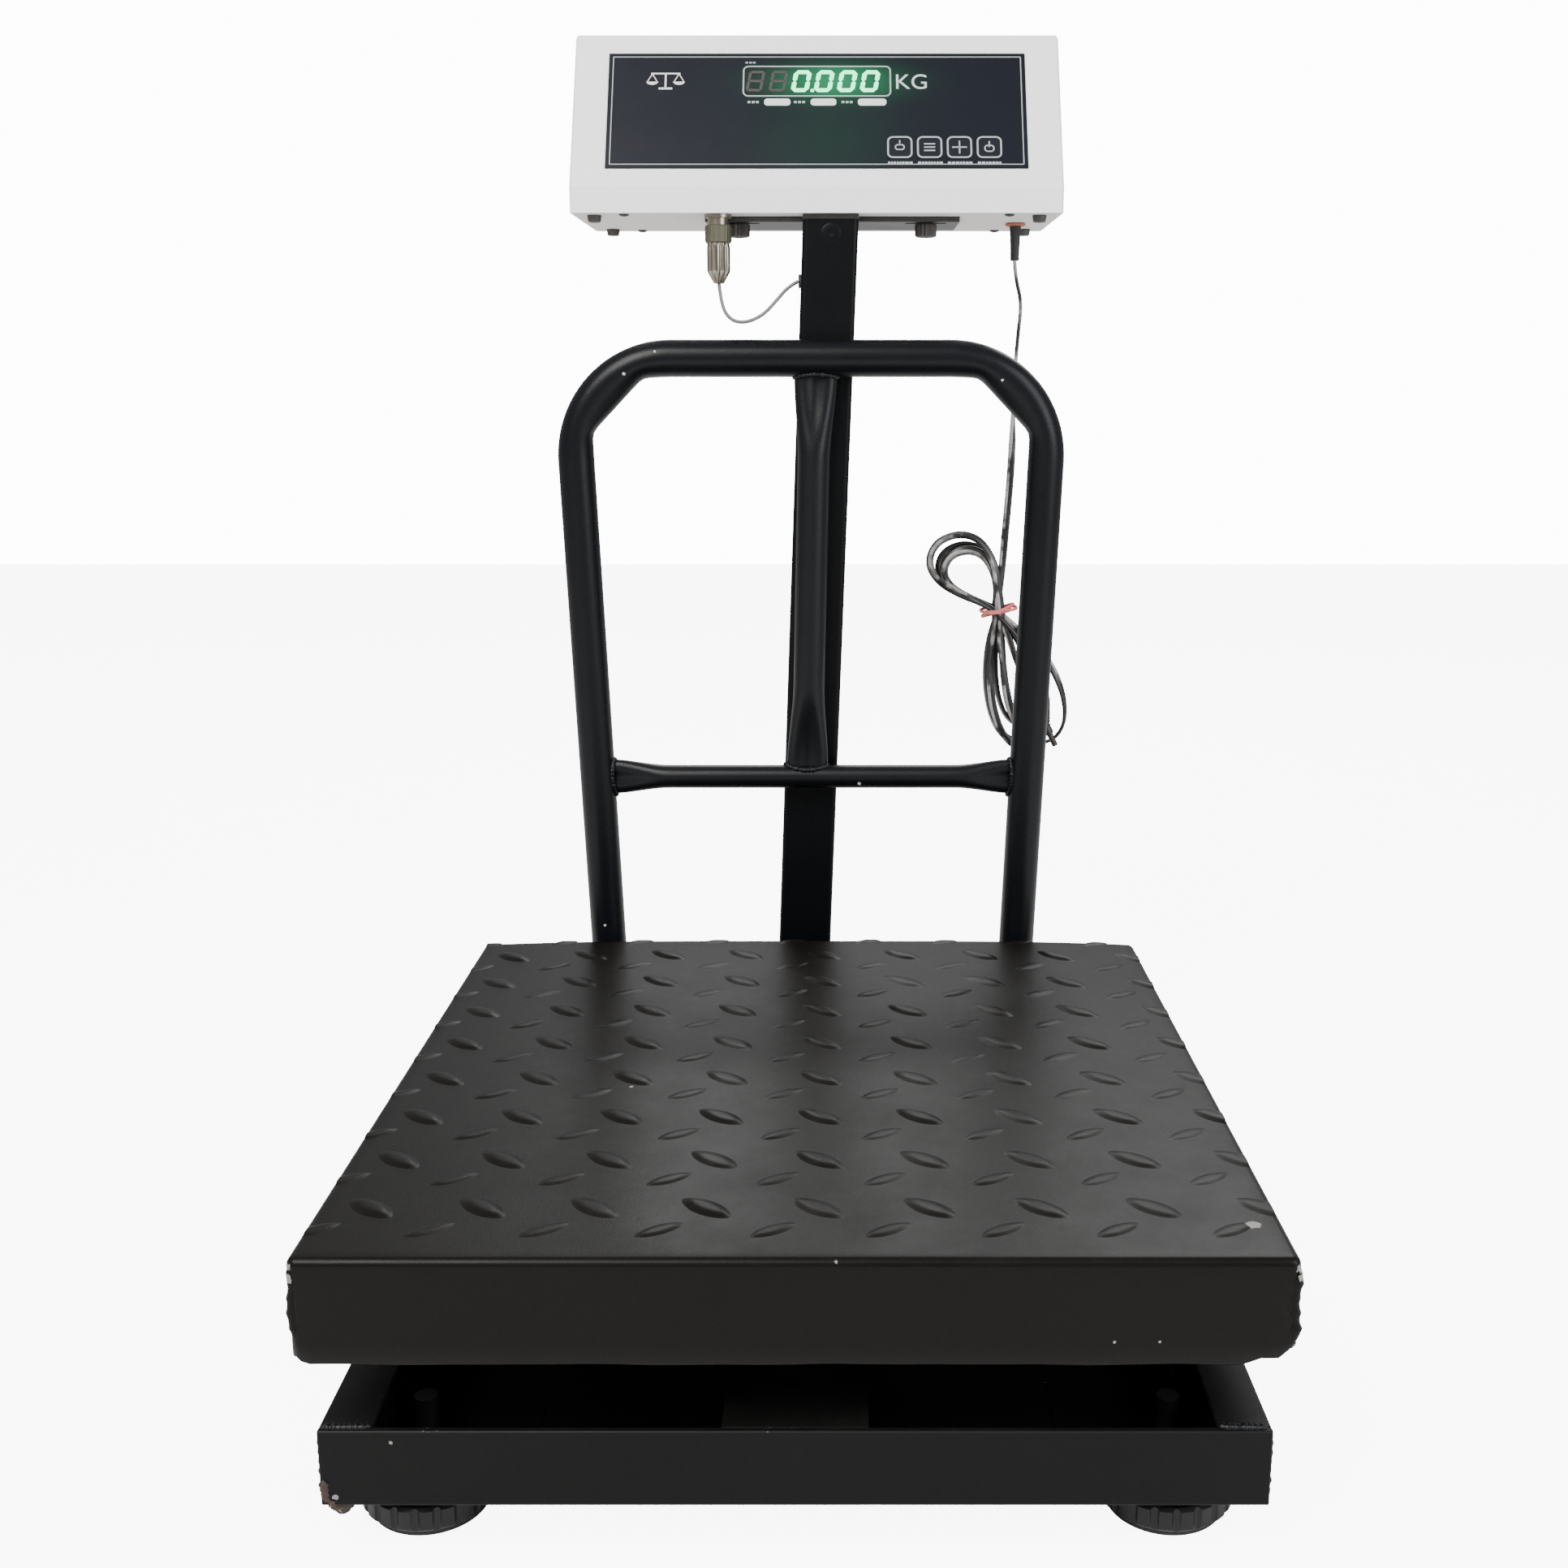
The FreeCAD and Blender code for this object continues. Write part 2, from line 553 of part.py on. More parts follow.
def column_flange():
    block = box("flange_block", "flange_wide", "flange_deep", "flange_sheet",
                "column_x - flange_wide / 2", f"{COLUMN_Y} - flange_deep / 2", SHELF_TOP)
    holes = [cylinder("flange_hole", "3", "20", f"column_x {sx} flange_bolt_x",
                      f"{COLUMN_Y} {sy} flange_bolt_y", f"{SHELF_TOP} - 5")
             for sx in "-+" for sy in "-+"]
    piece(cut("flange_drilled", block, holes), "column_flange")
    middle_y = size("guard_y") + size("pipe_radius") + size("column_deep") / 2
    seat = size("base_floor") + size("base_rise") + size("flange_sheet")
    spots = corners(size("flange_bolt_x"), size("flange_bolt_y"), size("column_x"), middle_y)
    copies("column_bolts", bolt(3, 18, 5, 4), [(x, y, seat) for x, y in spots])


def column_middle(height):
    """The column's middle, left to right, at a height: the real one leans to the right."""
    return f"(column_x + ({height} - {SHELF_TOP} - flange_sheet) * tan(column_lean * 1 deg))"


def column():
    """A rectangular tube that leans sideways; both its ends are cut level."""
    body = new_body("column_body")
    low = f"{SHELF_TOP} + flange_sheet"
    outline = sketch_on(body, "XY_Plane", "column_outline", low)
    for inset in ("0", "tube_wall"):
        rectangle(outline, f"column_x - column_wide / 2 + {inset}",
                  f"{COLUMN_Y} - column_deep / 2 + {inset}",
                  f"column_x + column_wide / 2 - {inset}",
                  f"{COLUMN_Y} + column_deep / 2 - {inset}")
    tall = f"case_floor - bracket_sheet - {SHELF_TOP} - flange_sheet"
    tube = extrude(body, "Pad", outline, tall, "column_tube")
    tube.UseCustomVector = True
    tube.AlongSketchNormal = True
    tube.Direction = Vector(math.tan(math.radians(size("column_lean"))), 0, 1)
    bind(tube, "Direction.x", "tan(column_lean * 1 deg)")
    doc.recompute()
    half_wide = size("column_wide") / 2
    half_tall = (size("case_floor") - size("bracket_sheet") - size("base_floor")
                 - size("base_rise") - size("flange_sheet")) / 2
    middle = size("column_x") + half_tall * math.tan(math.radians(size("column_lean")))

    def outer_upright(edge):
        return edge.Length > 100 and abs(abs(edge.CenterOfMass.x - middle) - half_wide) < 0.01
    fillet(body, "column_rounds", tube, "column_corner", outer_upright)
    entry = cylinder("cable_entry", "4", "10", column_middle("cable_entry_z"),
                     "guard_y + pipe_radius - 4", "cable_entry_z", "y")
    wall = f"({column_middle('cable_exit_z')} - column_wide / 2)"
    leave = cylinder("cable_exit", "2.8", "8", f"{wall} - 4", COLUMN_Y, "cable_exit_z", "x")
    piece(cut("column_drilled", body, [entry, leave]), "column")
    collar = cylinder("grommet_collar", "4", "2.2", f"{wall} - 1.6", COLUMN_Y, "cable_exit_z", "x")
    seated = cut("grommet_seat", collar, [body])
    neck = cylinder("grommet_neck", "2.8", "3.6", f"{wall} - 1.6", COLUMN_Y, "cable_exit_z", "x")
    bush = joined("grommet_bush", "Part::MultiFuse", [seated, neck])
    way = cylinder("grommet_hole", "cell_cable / 2", "10", f"{wall} - 4", COLUMN_Y,
                   "cable_exit_z", "x")
    piece(cut("grommet", bush, [way]), "column_grommet")


# ---------------------------------------------------------------- guard rail

def leg_foot():
    """The middle of the right leg's foot, and the legs' outward slope."""
    slope = math.tan(math.radians(size("leg_splay")))
    foot_z = size("base_floor") + size("base_rise")
    reach = size("corner_half") - (size("guard_top") - foot_z) * slope
    return reach, foot_z, slope


def rail_hoop():
    """A pipe bent twice: two splayed legs and a level top bar. It is made a millimetre long
    at both feet and trimmed level with the shelf."""
    reach, foot_z, slope = leg_foot()
    reach -= slope
    foot_z -= 1
    radius = size("bend_radius")
    splay = math.radians(size("leg_splay"))
    set_back = radius * math.tan((math.pi / 2 + splay) / 2)
    body = new_body("hoop_body")
    spine = sketch_on(body, "XZ_Plane", "hoop_spine", "-guard_y")
    middle = size("guard_x")
    top = size("guard_top")
    half = size("corner_half")
    arc_x = middle + half - set_back
    arc_top = Vector(arc_x, top, 0)
    centre = Vector(arc_x, top - radius, 0)
    leg_end = Vector(middle + half - set_back * math.sin(splay),
                     top - set_back * math.cos(splay), 0)

    def mirrored(spot):
        return Vector(2 * middle - spot.x, spot.y, 0)
    right_foot = Vector(middle + reach, foot_z, 0)
    bend = Part.ArcOfCircle(Part.Circle(centre, Vector(0, 0, 1), radius), -splay, math.pi / 2)
    other = Part.ArcOfCircle(Part.Circle(mirrored(centre), Vector(0, 0, 1), radius),
                             math.pi / 2, math.pi + splay)
    right = spine.addGeometry(Part.LineSegment(right_foot, leg_end), False)
    bend_right = spine.addGeometry(bend, False)
    bar = spine.addGeometry(Part.LineSegment(arc_top, mirrored(arc_top)), False)
    bend_left = spine.addGeometry(other, False)
    left = spine.addGeometry(Part.LineSegment(mirrored(leg_end), mirrored(right_foot)), False)
    for first, end, second, start in ((right, 2, bend_right, 1), (bend_right, 2, bar, 1),
                                      (bar, 2, bend_left, 1), (bend_left, 2, left, 1)):
        spine.addConstraint(Sketcher.Constraint("Tangent", first, end, second, start))
    spine.addConstraint(Sketcher.Constraint("Horizontal", bar))
    start = f"({SHELF_TOP} - 1)"
    foot_reach = f"(corner_half - (guard_top - {start}) * tan(leg_splay * 1 deg))"
    arc_reach = "(corner_half - bend_radius * tan((90 + leg_splay) / 2 * 1 deg))"
    for kind, line, end, number, text in (
            ("DistanceX", right, 1, middle + reach, f"guard_x + {foot_reach}"),
            ("DistanceY", right, 1, foot_z, start),
            ("DistanceX", left, 2, middle - reach, f"guard_x - {foot_reach}"),
            ("DistanceY", left, 2, foot_z, start),
            ("DistanceX", bar, 1, arc_x, f"guard_x + {arc_reach}"),
            ("DistanceX", bar, 2, 2 * middle - arc_x, f"guard_x - {arc_reach}"),
            ("DistanceY", bar, 1, top, "guard_top")):
        rule = spine.addConstraint(Sketcher.Constraint(kind, -1, 1, line, end, number))
        bind(spine, f"Constraints[{rule}]", text)
    for arc in (bend_right, bend_left):
        rule = spine.addConstraint(Sketcher.Constraint("Radius", arc, radius))
        bind(spine, f"Constraints[{rule}]", "bend_radius")
    ring = sketch_on(body, "XY_Plane", "hoop_ring", start)
    circle(ring, f"guard_x + {foot_reach}", "guard_y", "pipe_radius")
    circle(ring, f"guard_x + {foot_reach}", "guard_y", "pipe_radius - pipe_wall")
    pipe = body.newObject("PartDesign::AdditivePipe", "hoop_pipe")
    pipe.Profile = ring
    pipe.Spine = spine
    below = box("below_shelf", "2 * corner_half", "4 * pipe_radius", "10",
                "guard_x - corner_half", "guard_y - 2 * pipe_radius", f"{SHELF_TOP} - 10")
    piece(cut("hoop_trimmed", body, [below]), "rail_hoop")


def leg_rod(sign, radius):
    """The outside of one leg as a plain rod, to shape the pieces that meet it."""
    reach, foot_z, slope = leg_foot()
    direction = Vector(sign * slope, 0, 1).normalize()
    foot = Vector(size("guard_x") + sign * reach, size("guard_y"), foot_z)
    return Part.makeCylinder(radius, 400, foot - direction * 30, direction)


def ellipse_wire(centre, long_way, short_way):
    return Part.Wire(Part.Ellipse(centre + long_way, centre + short_way, centre).toShape())


def flattened_rod(start, end, wide_way, end_wide, end_thin, radius):
    """A rod, round in the middle and pressed flat at both ends; wide_way is the flat's width."""
    along = (end - start).normalize()
    thin_way = along.cross(wide_way)
    flare = size("flare_long")
    round_wide = wide_way * radius
    round_thin = thin_way * radius * 0.999
    flat_wide = wide_way * end_wide
    flat_thin = thin_way * end_thin
    near = start + along * flare
    far = end - along * flare
    stages = (((start, flat_wide, flat_thin), (near, round_wide, round_thin)),
              ((near, round_wide, round_thin), (far, round_wide, round_thin)),
              ((far, round_wide, round_thin), (end, flat_wide, flat_thin)))
    parts = [Part.makeLoft([ellipse_wire(*one), ellipse_wire(*two)], True, True)
             for one, two in stages]
    return parts[0].multiFuse(parts[1:]).removeSplitter()


def guard_braces():
    """The crossbar between the legs and the strut above it, coped to what they meet."""
    reach, foot_z, slope = leg_foot()
    level = size("crossbar_z")
    half = reach + (level - foot_z) * slope
    middle = Vector(size("guard_x"), size("guard_y"), level)
    up = Vector(0, 0, 1)
    bar = flattened_rod(middle - Vector(half, 0, 0), middle + Vector(half, 0, 0), up,
                        size("bar_end_tall"), size("bar_end_thin"), size("bar_radius"))
    for sign in (-1, 1):
        bar = bar.cut(leg_rod(sign, size("pipe_radius")))
    bar = max(bar.Solids, key=lambda solid: solid.Volume)
    piece(made("crossbar", bar), "rail_crossbar")

    low = Vector(size("strut_low_x"), middle.y, level)
    top = Vector(size("strut_high_x"), middle.y, size("guard_top"))
    across = Vector(0, 1, 0).cross((top - low).normalize())
    strut = flattened_rod(low, top, across, size("strut_end_wide"), size("strut_end_thin"),
                          size("strut_radius"))
    top_bar = Part.makeCylinder(size("pipe_radius"), 120, top - Vector(60, 0, 0), Vector(1, 0, 0))
    low_bar = Part.makeCylinder(size("bar_radius") + 0.01, 120, middle - Vector(60, 0, 0),
                                Vector(1, 0, 0))
    strut = strut.cut(top_bar).cut(low_bar)
    strut = max(strut.Solids, key=lambda solid: solid.Volume)
    piece(made("strut", strut), "rail_strut")


def rail_sockets():
    """Two short sleeves, welded on the shelf, that the legs stand in."""
    reach, foot_z, slope = leg_foot()
    sleeves = []
    rise = size("socket_rise")
    for sign in (-1, 1):
        slab = Part.makeBox(80, 80, rise, Vector(size("guard_x") + sign * reach - 40,
                                                 size("guard_y") - 40, foot_z))
        outer = leg_rod(sign, size("pipe_radius") + size("socket_wall")).common(slab)
        sleeves.append(outer.cut(leg_rod(sign, size("pipe_radius"))))
    piece(made("sleeves", Part.makeCompound(sleeves)), "rail_sockets")


# ---------------------------------------------------------------- indicator

SLOPE_LONG = "sqrt(case_run ^ 2 + (case_rise - case_lip) ^ 2)"


def slope_angle():
    return math.degrees(math.atan2(size("case_rise") - size("case_lip"), size("case_run")))


def on_slope(across, up, out):
    """The placement of a point on the sloping face: across from its middle, up from its
    lower edge and out of its surface, with the local Z axis pointing outwards."""
    turn = Rotation(Vector(1, 0, 0), slope_angle())
    origin = Vector(size("case_x"), size("case_front"), size("case_floor") + size("case_lip"))
    return Placement(origin + turn.multVec(Vector(across, up, out)), turn)


def slope_box(name, wide, tall, thick, across, up, out):
    """A block on the sloping face: its middle is at across and up, its back at out."""
    block = doc.addObject("Part::Box", name)
    for prop, text in zip(("Length", "Width", "Height"), (wide, tall, thick)):
        bind(block, prop, text)
    doc.recompute()
    block.Placement = on_slope(across - block.Length.Value / 2, up - block.Width.Value / 2, out)
    return block


def key_spots():
    return [size("key_first") + number * size("key_pitch") for number in range(4)]


def indicator_case():
    body = new_body("case_body")
    outline = sketch_on(body, "YZ_Plane", "case_outline", "case_x")
    back = "(case_front + case_deep)"
    top = "(case_floor + case_rise)"
    polygon(outline, (("case_front", "case_floor"), ("case_front", "case_floor + case_lip"),
                      ("case_front + case_run", top), (back, top), (back, "case_floor")))
    extrude(body, "Pad", outline, "case_wide", "case_block", symmetric=True)
    hollow = sketch_on(body, "YZ_Plane", "case_hollow_outline", "case_x")
    slope_rise = "(case_rise - case_lip)"
    low_corner = (f"case_floor + case_lip + case_wall * ({slope_rise} - {SLOPE_LONG})"
                  " / case_run")
    high_corner = (f"case_front + (case_wall * {SLOPE_LONG} + case_run *"
                   f" ({slope_rise} - case_wall)) / {slope_rise}")
    polygon(hollow, (("case_front + case_wall", "case_floor - 5"),
                     ("case_front + case_wall", low_corner),
                     (high_corner, f"{top} - case_wall"),
                     (f"{back} - case_wall", f"{top} - case_wall"),
                     (f"{back} - case_wall", "case_floor - 5")))
    shell = extrude(body, "Pocket", hollow, "case_wide - 2 * case_wall", "case_hollow",
                    symmetric=True)
    half = size("case_wide") / 2
    floor = size("case_floor")

    def outer(edge):
        middle = edge.CenterOfMass
        on_side = abs(abs(middle.x - size("case_x")) - half) < 0.01
        along = abs(middle.x - size("case_x")) < 0.01 and edge.Length > size("case_wide") - 0.1
        return (on_side or along) and middle.z > floor + 1
    fillet(body, "case_folds", shell, "case_fold", outer)
    openings = [slope_box("display_cut", "window_wide - 3", "window_tall - 2", "10",
                          0, size("window_middle"), -5)]
    openings += [slope_box("key_cut", "key_side + 2 * key_gap", "key_side + 2 * key_gap", "10",
                           across, size("key_middle"), -5) for across in key_spots()]
    piece(cut("case_cut_out", body, openings), "indicator_case")


def front_panel():
    plate = slope_box("overlay_plate", "overlay_wide", "overlay_tall", "overlay_sheet",
                      0, size("overlay_middle"), 0)
    openings = [slope_box("window_cut", "window_wide", "window_tall", "4",
                          0, size("window_middle"), -2)]
    openings += [slope_box("key_hole", "key_side + 2 * key_gap", "key_side + 2 * key_gap", "4",
                           across, size("key_middle"), -2) for across in key_spots()]
    piece(cut("overlay_cut_out", plate, openings), "panel_overlay")
    piece(slope_box("window_pane", "window_wide", "window_tall", "overlay_sheet",
                    0, size("window_middle"), 0), "display_window")
    low = size("key_proud") - size("key_depth")
    for number, across in enumerate(key_spots(), start=1):
        piece(slope_box(f"key_cap_{number}", "key_side", "key_side", "key_depth",
                        across, size("key_middle"), low), f"panel_key_{number}")


def electronics():
    board_out = -10.0
    board_thick = 1.6
    piece(slope_box("board", "220", "74", board_thick, 0, size("overlay_middle"), board_out),
          "main_circuit_board")
    face = board_out + board_thick
    piece(slope_box("display_module", "78", "18", "6.6", -1, size("window_middle"), face),
          "led_display")
    switches = [slope_box("switch", "6", "6", "5.6", across, size("key_middle"), face)
                for across in key_spots()]
    piece(joined("switches", "Part::Compound", switches), "key_switches")
    piece(box("battery_block", "100", "48", "48", "case_x - 116", "case_front + 51",
              "case_floor + case_wall"), "battery")


def bottom_plate():
    plate = box("plate_block", "case_wide - 2 * case_wall", "case_deep - 2 * case_wall",
                "case_wall", "case_x - case_wide / 2 + case_wall", "case_front + case_wall",
                "case_floor")
    low = "case_floor - 5"
    holes = [cylinder("inlet_hole", "4", "10", "inlet_x", "inlet_y", low),
             cylinder("socket_hole", "6", "10", "socket_x", "socket_y", low)]
    holes += [cylinder("knob_hole", "3", "10", f"bracket_x {sign} knob_reach", "knob_y", low)
              for sign in "-+"]
    holes += [cylinder("screw_hole", "1.5", "10", str(x), str(y), low)
              for x, y in case_screw_spots()]
    piece(cut("plate_drilled", plate, holes), "indicator_bottom_plate")


def case_screw_spots():
    middle_y = size("case_front") + size("case_deep") / 2
    return corners(112, 50, size("case_x"), middle_y)


def case_hardware():
    floor = size("case_floor")
    screw = bolt(1.5, 8, 3, 1.3)
    copies("case_screws", screw, [(x, y, floor) for x, y in case_screw_spots()],
           Rotation(Vector(1, 0, 0), 180))
    middle_y = size("case_front") + size("case_deep") / 2
    rubber = Part.makeCone(3.6, 4.2, 4)
    copies("case_feet", rubber,
           [(x, y, floor - 4) for x, y in corners(130, 44, size("case_x"), middle_y)])


def indicator_bracket():
    """A flat plate on the column's top, slotted for two knobs that hold the indicator."""
    body = new_body("bracket_body")
    outline = sketch_on(body, "XY_Plane", "bracket_outline", "case_floor - bracket_sheet")
    column_top = column_middle("case_floor - bracket_sheet")
    left = f"{column_top} - column_wide / 2"
    right = f"{column_top} + column_wide / 2"
    front = "guard_y + pipe_radius"
    polygon(outline, ((left, front), (right, front), (right, "bracket_front"),
                      ("bracket_x + bracket_half", "bracket_front"),
                      ("bracket_x + bracket_half", "bracket_back"),
                      ("bracket_x - bracket_half", "bracket_back"),
                      ("bracket_x - bracket_half", "bracket_front"),
                      (left, "bracket_front")))
    extrude(body, "Pad", outline, "bracket_sheet", "bracket_plate")
    for sign, tag in (("-", "left"), ("+", "right")):
        slot = sketch_on(body, "XY_Plane", f"bracket_slot_{tag}", "case_floor")
        rectangle(slot, f"bracket_x {sign} knob_reach - 12", "knob_y - 3.2",
                  f"bracket_x {sign} knob_reach + 12", "knob_y + 3.2")
        extrude(body, "Pocket", slot, "10 * bracket_sheet", f"bracket_cut_{tag}",
                symmetric=True)
    piece(body, "indicator_bracket")
    radius = size("knob_radius")
    rise = size("knob_rise")
    knob = Part.makeCylinder(radius, rise)
    shank = Part.makeCylinder(3, 14, Vector(0, 0, rise))
    seat = size("case_floor") - size("bracket_sheet") - rise
    copies("bracket_knobs", knob.fuse(shank).removeSplitter(),
           [(size("bracket_x") + sign * size("knob_reach"), size("knob_y"), seat)
            for sign in (-1, 1)])


# ---------------------------------------------------------------- connectors and cables

def cell_connector():
    """The round screw connector: its socket in the case floor and the plug that hangs in it."""
    x, y = "socket_x", "socket_y"
    rim = cylinder("socket_rim", "8", "2", x, y, "case_floor - 2")
    thread = cylinder("socket_thread", "6", "17", x, y, "case_floor - 6")
    piece(joined("cell_socket", "Part::MultiFuse", [rim, thread]), "load_cell_socket")
    ring = cylinder("plug_ring", "7.8", "10", x, y, "case_floor - 16")
    barrel = cylinder("plug_barrel", "6.8", "16", x, y, "case_floor - 32")
    tail = cone("plug_tail", "3", "6.8", "6.6", x, y, "case_floor - 38.6")
    piece(joined("cell_plug", "Part::MultiFuse", [ring, barrel, tail]), "load_cell_plug")


def power_inlet():
    """A rubber grommet in the case floor, drawn down into a tapered sleeve for the lead."""
    x, y = "inlet_x", "inlet_y"
    collar = cylinder("inlet_collar", "6.2", "1.8", x, y, "case_floor - 1.8")
    neck = cylinder("inlet_neck", "4", "3.4", x, y, "case_floor - 0.2")
    sleeve = cone("inlet_sleeve", "2.6", "3.6", "20.4", x, y, "case_floor - 22")
    piece(joined("inlet_bush", "Part::MultiFuse", [collar, neck, sleeve]), "power_grommet")


CELL_CABLE_INSIDE = (
    (0, 5, 79), (0, 18, 79), (0, 36, 76), (0, 58, 70.5), (0, 86, 68), (-0.8, 116, 68.4),
    (-3.4, 142, 70.5), (-4.9, 158, 73), (-5, 168, 81), (-4.3, 170.4, 97), (-2.5, 170.0, 150),
    (8.9, 170.3, 440), (11.2, 170.1, 490), (13, 170.2, 514), (11.2, 170.1, 526),
    (4.3, 170.2, 531.2), (-5.55, 170.15, 531),
)
CELL_CABLE_LOOP = (
    (-5.55, 170.15, 531), (-11.5, 169.8, 528), (-18.5, 169.1, 520), (-26.5, 167.9, 511.5),
    (-37, 166.3, 507), (-45.4, 165, 508.5), (-50.8, 164.2, 516.5), (-52, 164, 529.4),
)
LEAD_HANGING = (
    (126.3, 216, 546), (127.2, 216, 535), (131.4, 216.4, 521), (129.2, 217, 500),
    (127.6, 217.4, 468), (127.4, 217, 425), (124.6, 216.5, 386), (121, 216, 352),
)
HANK_UPPER = (
    (120.5, 216, 336), (120, 216, 350), (117.5, 216, 366), (107, 216, 378.5), (92.5, 216, 381),
    (79.5, 216, 373), (76.5, 216, 359), (85, 216, 347), (99, 216, 339.5), (113, 216, 333.5),
)
HANK_LOWER = (
    (121, 216, 328), (131, 216, 322), (143.5, 216, 306), (152.5, 216, 288), (154.5, 216, 267),
    (148, 216, 249), (135.5, 216, 241.5), (124.5, 216, 249), (118.5, 216, 266),
    (117, 216, 288), (117.5, 216, 309), (119.5, 216, 324),
)
LEAD_TAIL = (
    (122.5, 215, 327), (128, 212, 313), (132.6, 209, 298), (139.5, 207.4, 282),
    (147.9, 206.9, 265.5),
)
TIE = (120, 216, 331)


def cables():
    thin = size("cell_cable")
    piece(made("cable_inside", tube_along(CELL_CABLE_INSIDE, thin, "inside cable")),
          "load_cell_cable_inner")
    piece(made("cable_loop", tube_along(CELL_CABLE_LOOP, thin, "cable loop")),
          "load_cell_cable_loop")
    wide = size("lead_wide")
    hanging = tube_along(LEAD_HANGING, wide, "hanging lead")
    tail = tube_along(LEAD_TAIL, wide, "lead's tail")
    piece(made("lead", Part.makeCompound([hanging, tail])), "power_cord")
    lobes = [tube_along(HANK_UPPER, 2 * wide, "upper lobe"),
             tube_along(HANK_LOWER, 2 * wide, "lower lobe")]
    waist = Part.makeSphere(1.5 * wide, Vector(*TIE))
    hank = waist.multiFuse(lobes).removeSplitter()
    piece(made("hank", hank), "power_cord_hank")
    band = Part.makeTorus(1.55 * wide, 0.35 * wide, Vector(*TIE), Vector(0.2, 0, 1))
    piece(made("band", band.cut(hank)), "hank_tie")
    tail_way = (Vector(*LEAD_TAIL[-1]) - Vector(*LEAD_TAIL[-2])).normalize()
    start = Vector(*LEAD_TAIL[-1])
    grip = Part.makeCone(3.2, 2.7, 15, start, tail_way)
    pin = Part.makeCylinder(1.9, 9, start + tail_way * 15, tail_way)
    piece(made("plug", grip.fuse(pin).removeSplitter()), "power_plug")


# ---------------------------------------------------------------- build and write

def build():
    platform_pan()
    upper_frame()
    load_cell()
    spacer("load_cell_spacer_lower", "+", f"{SHELF_TOP}", f"cell_low - {SHELF_TOP}")
    spacer("load_cell_spacer_upper", "-", "(cell_low + cell_rise)",
           "upper_low - cell_low - cell_rise")
    cell_fasteners()
    overload_stop()
    end_rail("base_front_rail", "-")
    end_rail("base_rear_rail", "+")
    side_rails()
    center_beam()
    foot_plates()
    floor_sheets()
    jam_nuts()
    for tag, sign_x, sign_y in FEET:
        foot(tag, sign_x, sign_y)
    rear_shelf()
    column_flange()
    column()
    rail_hoop()
    guard_braces()
    rail_sockets()
    indicator_bracket()
    indicator_case()
    front_panel()
    electronics()
    bottom_plate()
    case_hardware()
    cell_connector()
    power_inlet()
    cables()


def check():
    """Stops if a feature failed, a cut removed nothing or a sub-part is not a sound solid."""
    doc.recompute()
    for thing in doc.Objects:
        bad = [word for word in thing.State if word in ("Invalid", "Error")]
        if bad:
            raise RuntimeError(f"{thing.Name} ({thing.Label}) is {bad}")
        if thing.TypeId == "PartDesign::Pocket":
            if thing.Shape.Volume > thing.BaseFeature.Shape.Volume - 0.5:
                raise RuntimeError(f"{thing.Name} removes nothing")
    for thing in pieces:
        if thing.Shape.isNull() or not thing.Shape.isValid():
            raise RuntimeError(f"{thing.Label} has no sound shape")
    labels = [thing.Label for thing in pieces]
    if len(set(labels)) != len(labels):
        raise RuntimeError("two sub-parts share a name")


def write():
    os.makedirs("parts", exist_ok=True)
    for thing in pieces:
        thing.Shape.exportStep(os.path.join("parts", f"{thing.Label}.step"))
    print(len(pieces), "sub-parts written")


build()
check()
write()
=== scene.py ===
import math
import random

import bmesh
import bpy
from mathutils import Matrix, Vector, noise


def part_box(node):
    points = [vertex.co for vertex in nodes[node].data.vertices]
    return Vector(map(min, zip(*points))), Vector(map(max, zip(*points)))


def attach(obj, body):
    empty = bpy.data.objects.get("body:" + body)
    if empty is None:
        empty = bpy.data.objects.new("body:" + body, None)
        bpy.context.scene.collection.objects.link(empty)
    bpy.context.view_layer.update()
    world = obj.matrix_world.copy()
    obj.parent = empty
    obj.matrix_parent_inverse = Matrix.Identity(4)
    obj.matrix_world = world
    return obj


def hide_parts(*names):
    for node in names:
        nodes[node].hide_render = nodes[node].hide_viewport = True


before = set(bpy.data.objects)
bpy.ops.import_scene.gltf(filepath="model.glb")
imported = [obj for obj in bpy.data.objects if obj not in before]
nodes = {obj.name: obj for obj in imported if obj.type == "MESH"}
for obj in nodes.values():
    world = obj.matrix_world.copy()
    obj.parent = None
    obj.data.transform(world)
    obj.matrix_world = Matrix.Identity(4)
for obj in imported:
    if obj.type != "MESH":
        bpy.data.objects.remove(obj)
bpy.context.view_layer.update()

# Places and sizes in metres, in the frame of the CAD parts.
PAN_LOW, PAN_HIGH = (Vector(corner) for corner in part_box("platform_pan"))
PAN_MIDDLE = (PAN_LOW + PAN_HIGH) / 2
PAN_HALF = (PAN_HIGH.x - PAN_LOW.x) / 2
CASE_LOW, CASE_HIGH = (Vector(corner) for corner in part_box("indicator_case"))
CASE_X = (CASE_LOW.x + CASE_HIGH.x) / 2
CASE_LIP, SLOPE_RISE, SLOPE_RUN = 0.015, 0.090, 0.049
SLOPE_LOW = Vector((CASE_X, CASE_LOW.y, CASE_LOW.z + CASE_LIP))
SLOPE_TURN = math.atan2(SLOPE_RISE, SLOPE_RUN)
OVERLAY_FACE = 0.0006


# ---------------------------------------------------------------- camera, light and floor

def add_camera():
    camera = bpy.data.cameras.new("view")
    camera.sensor_width = 36
    camera.lens = 39.61
    camera.shift_x = -0.0331
    camera.clip_start = 0.05
    holder = bpy.data.objects.new("view", camera)
    holder.location = (0.0166, -0.88795, 0.4654)
    holder.rotation_euler = (math.radians(90 - 12.697), 0, 0)
    bpy.context.collection.objects.link(holder)
    bpy.context.scene.camera = holder


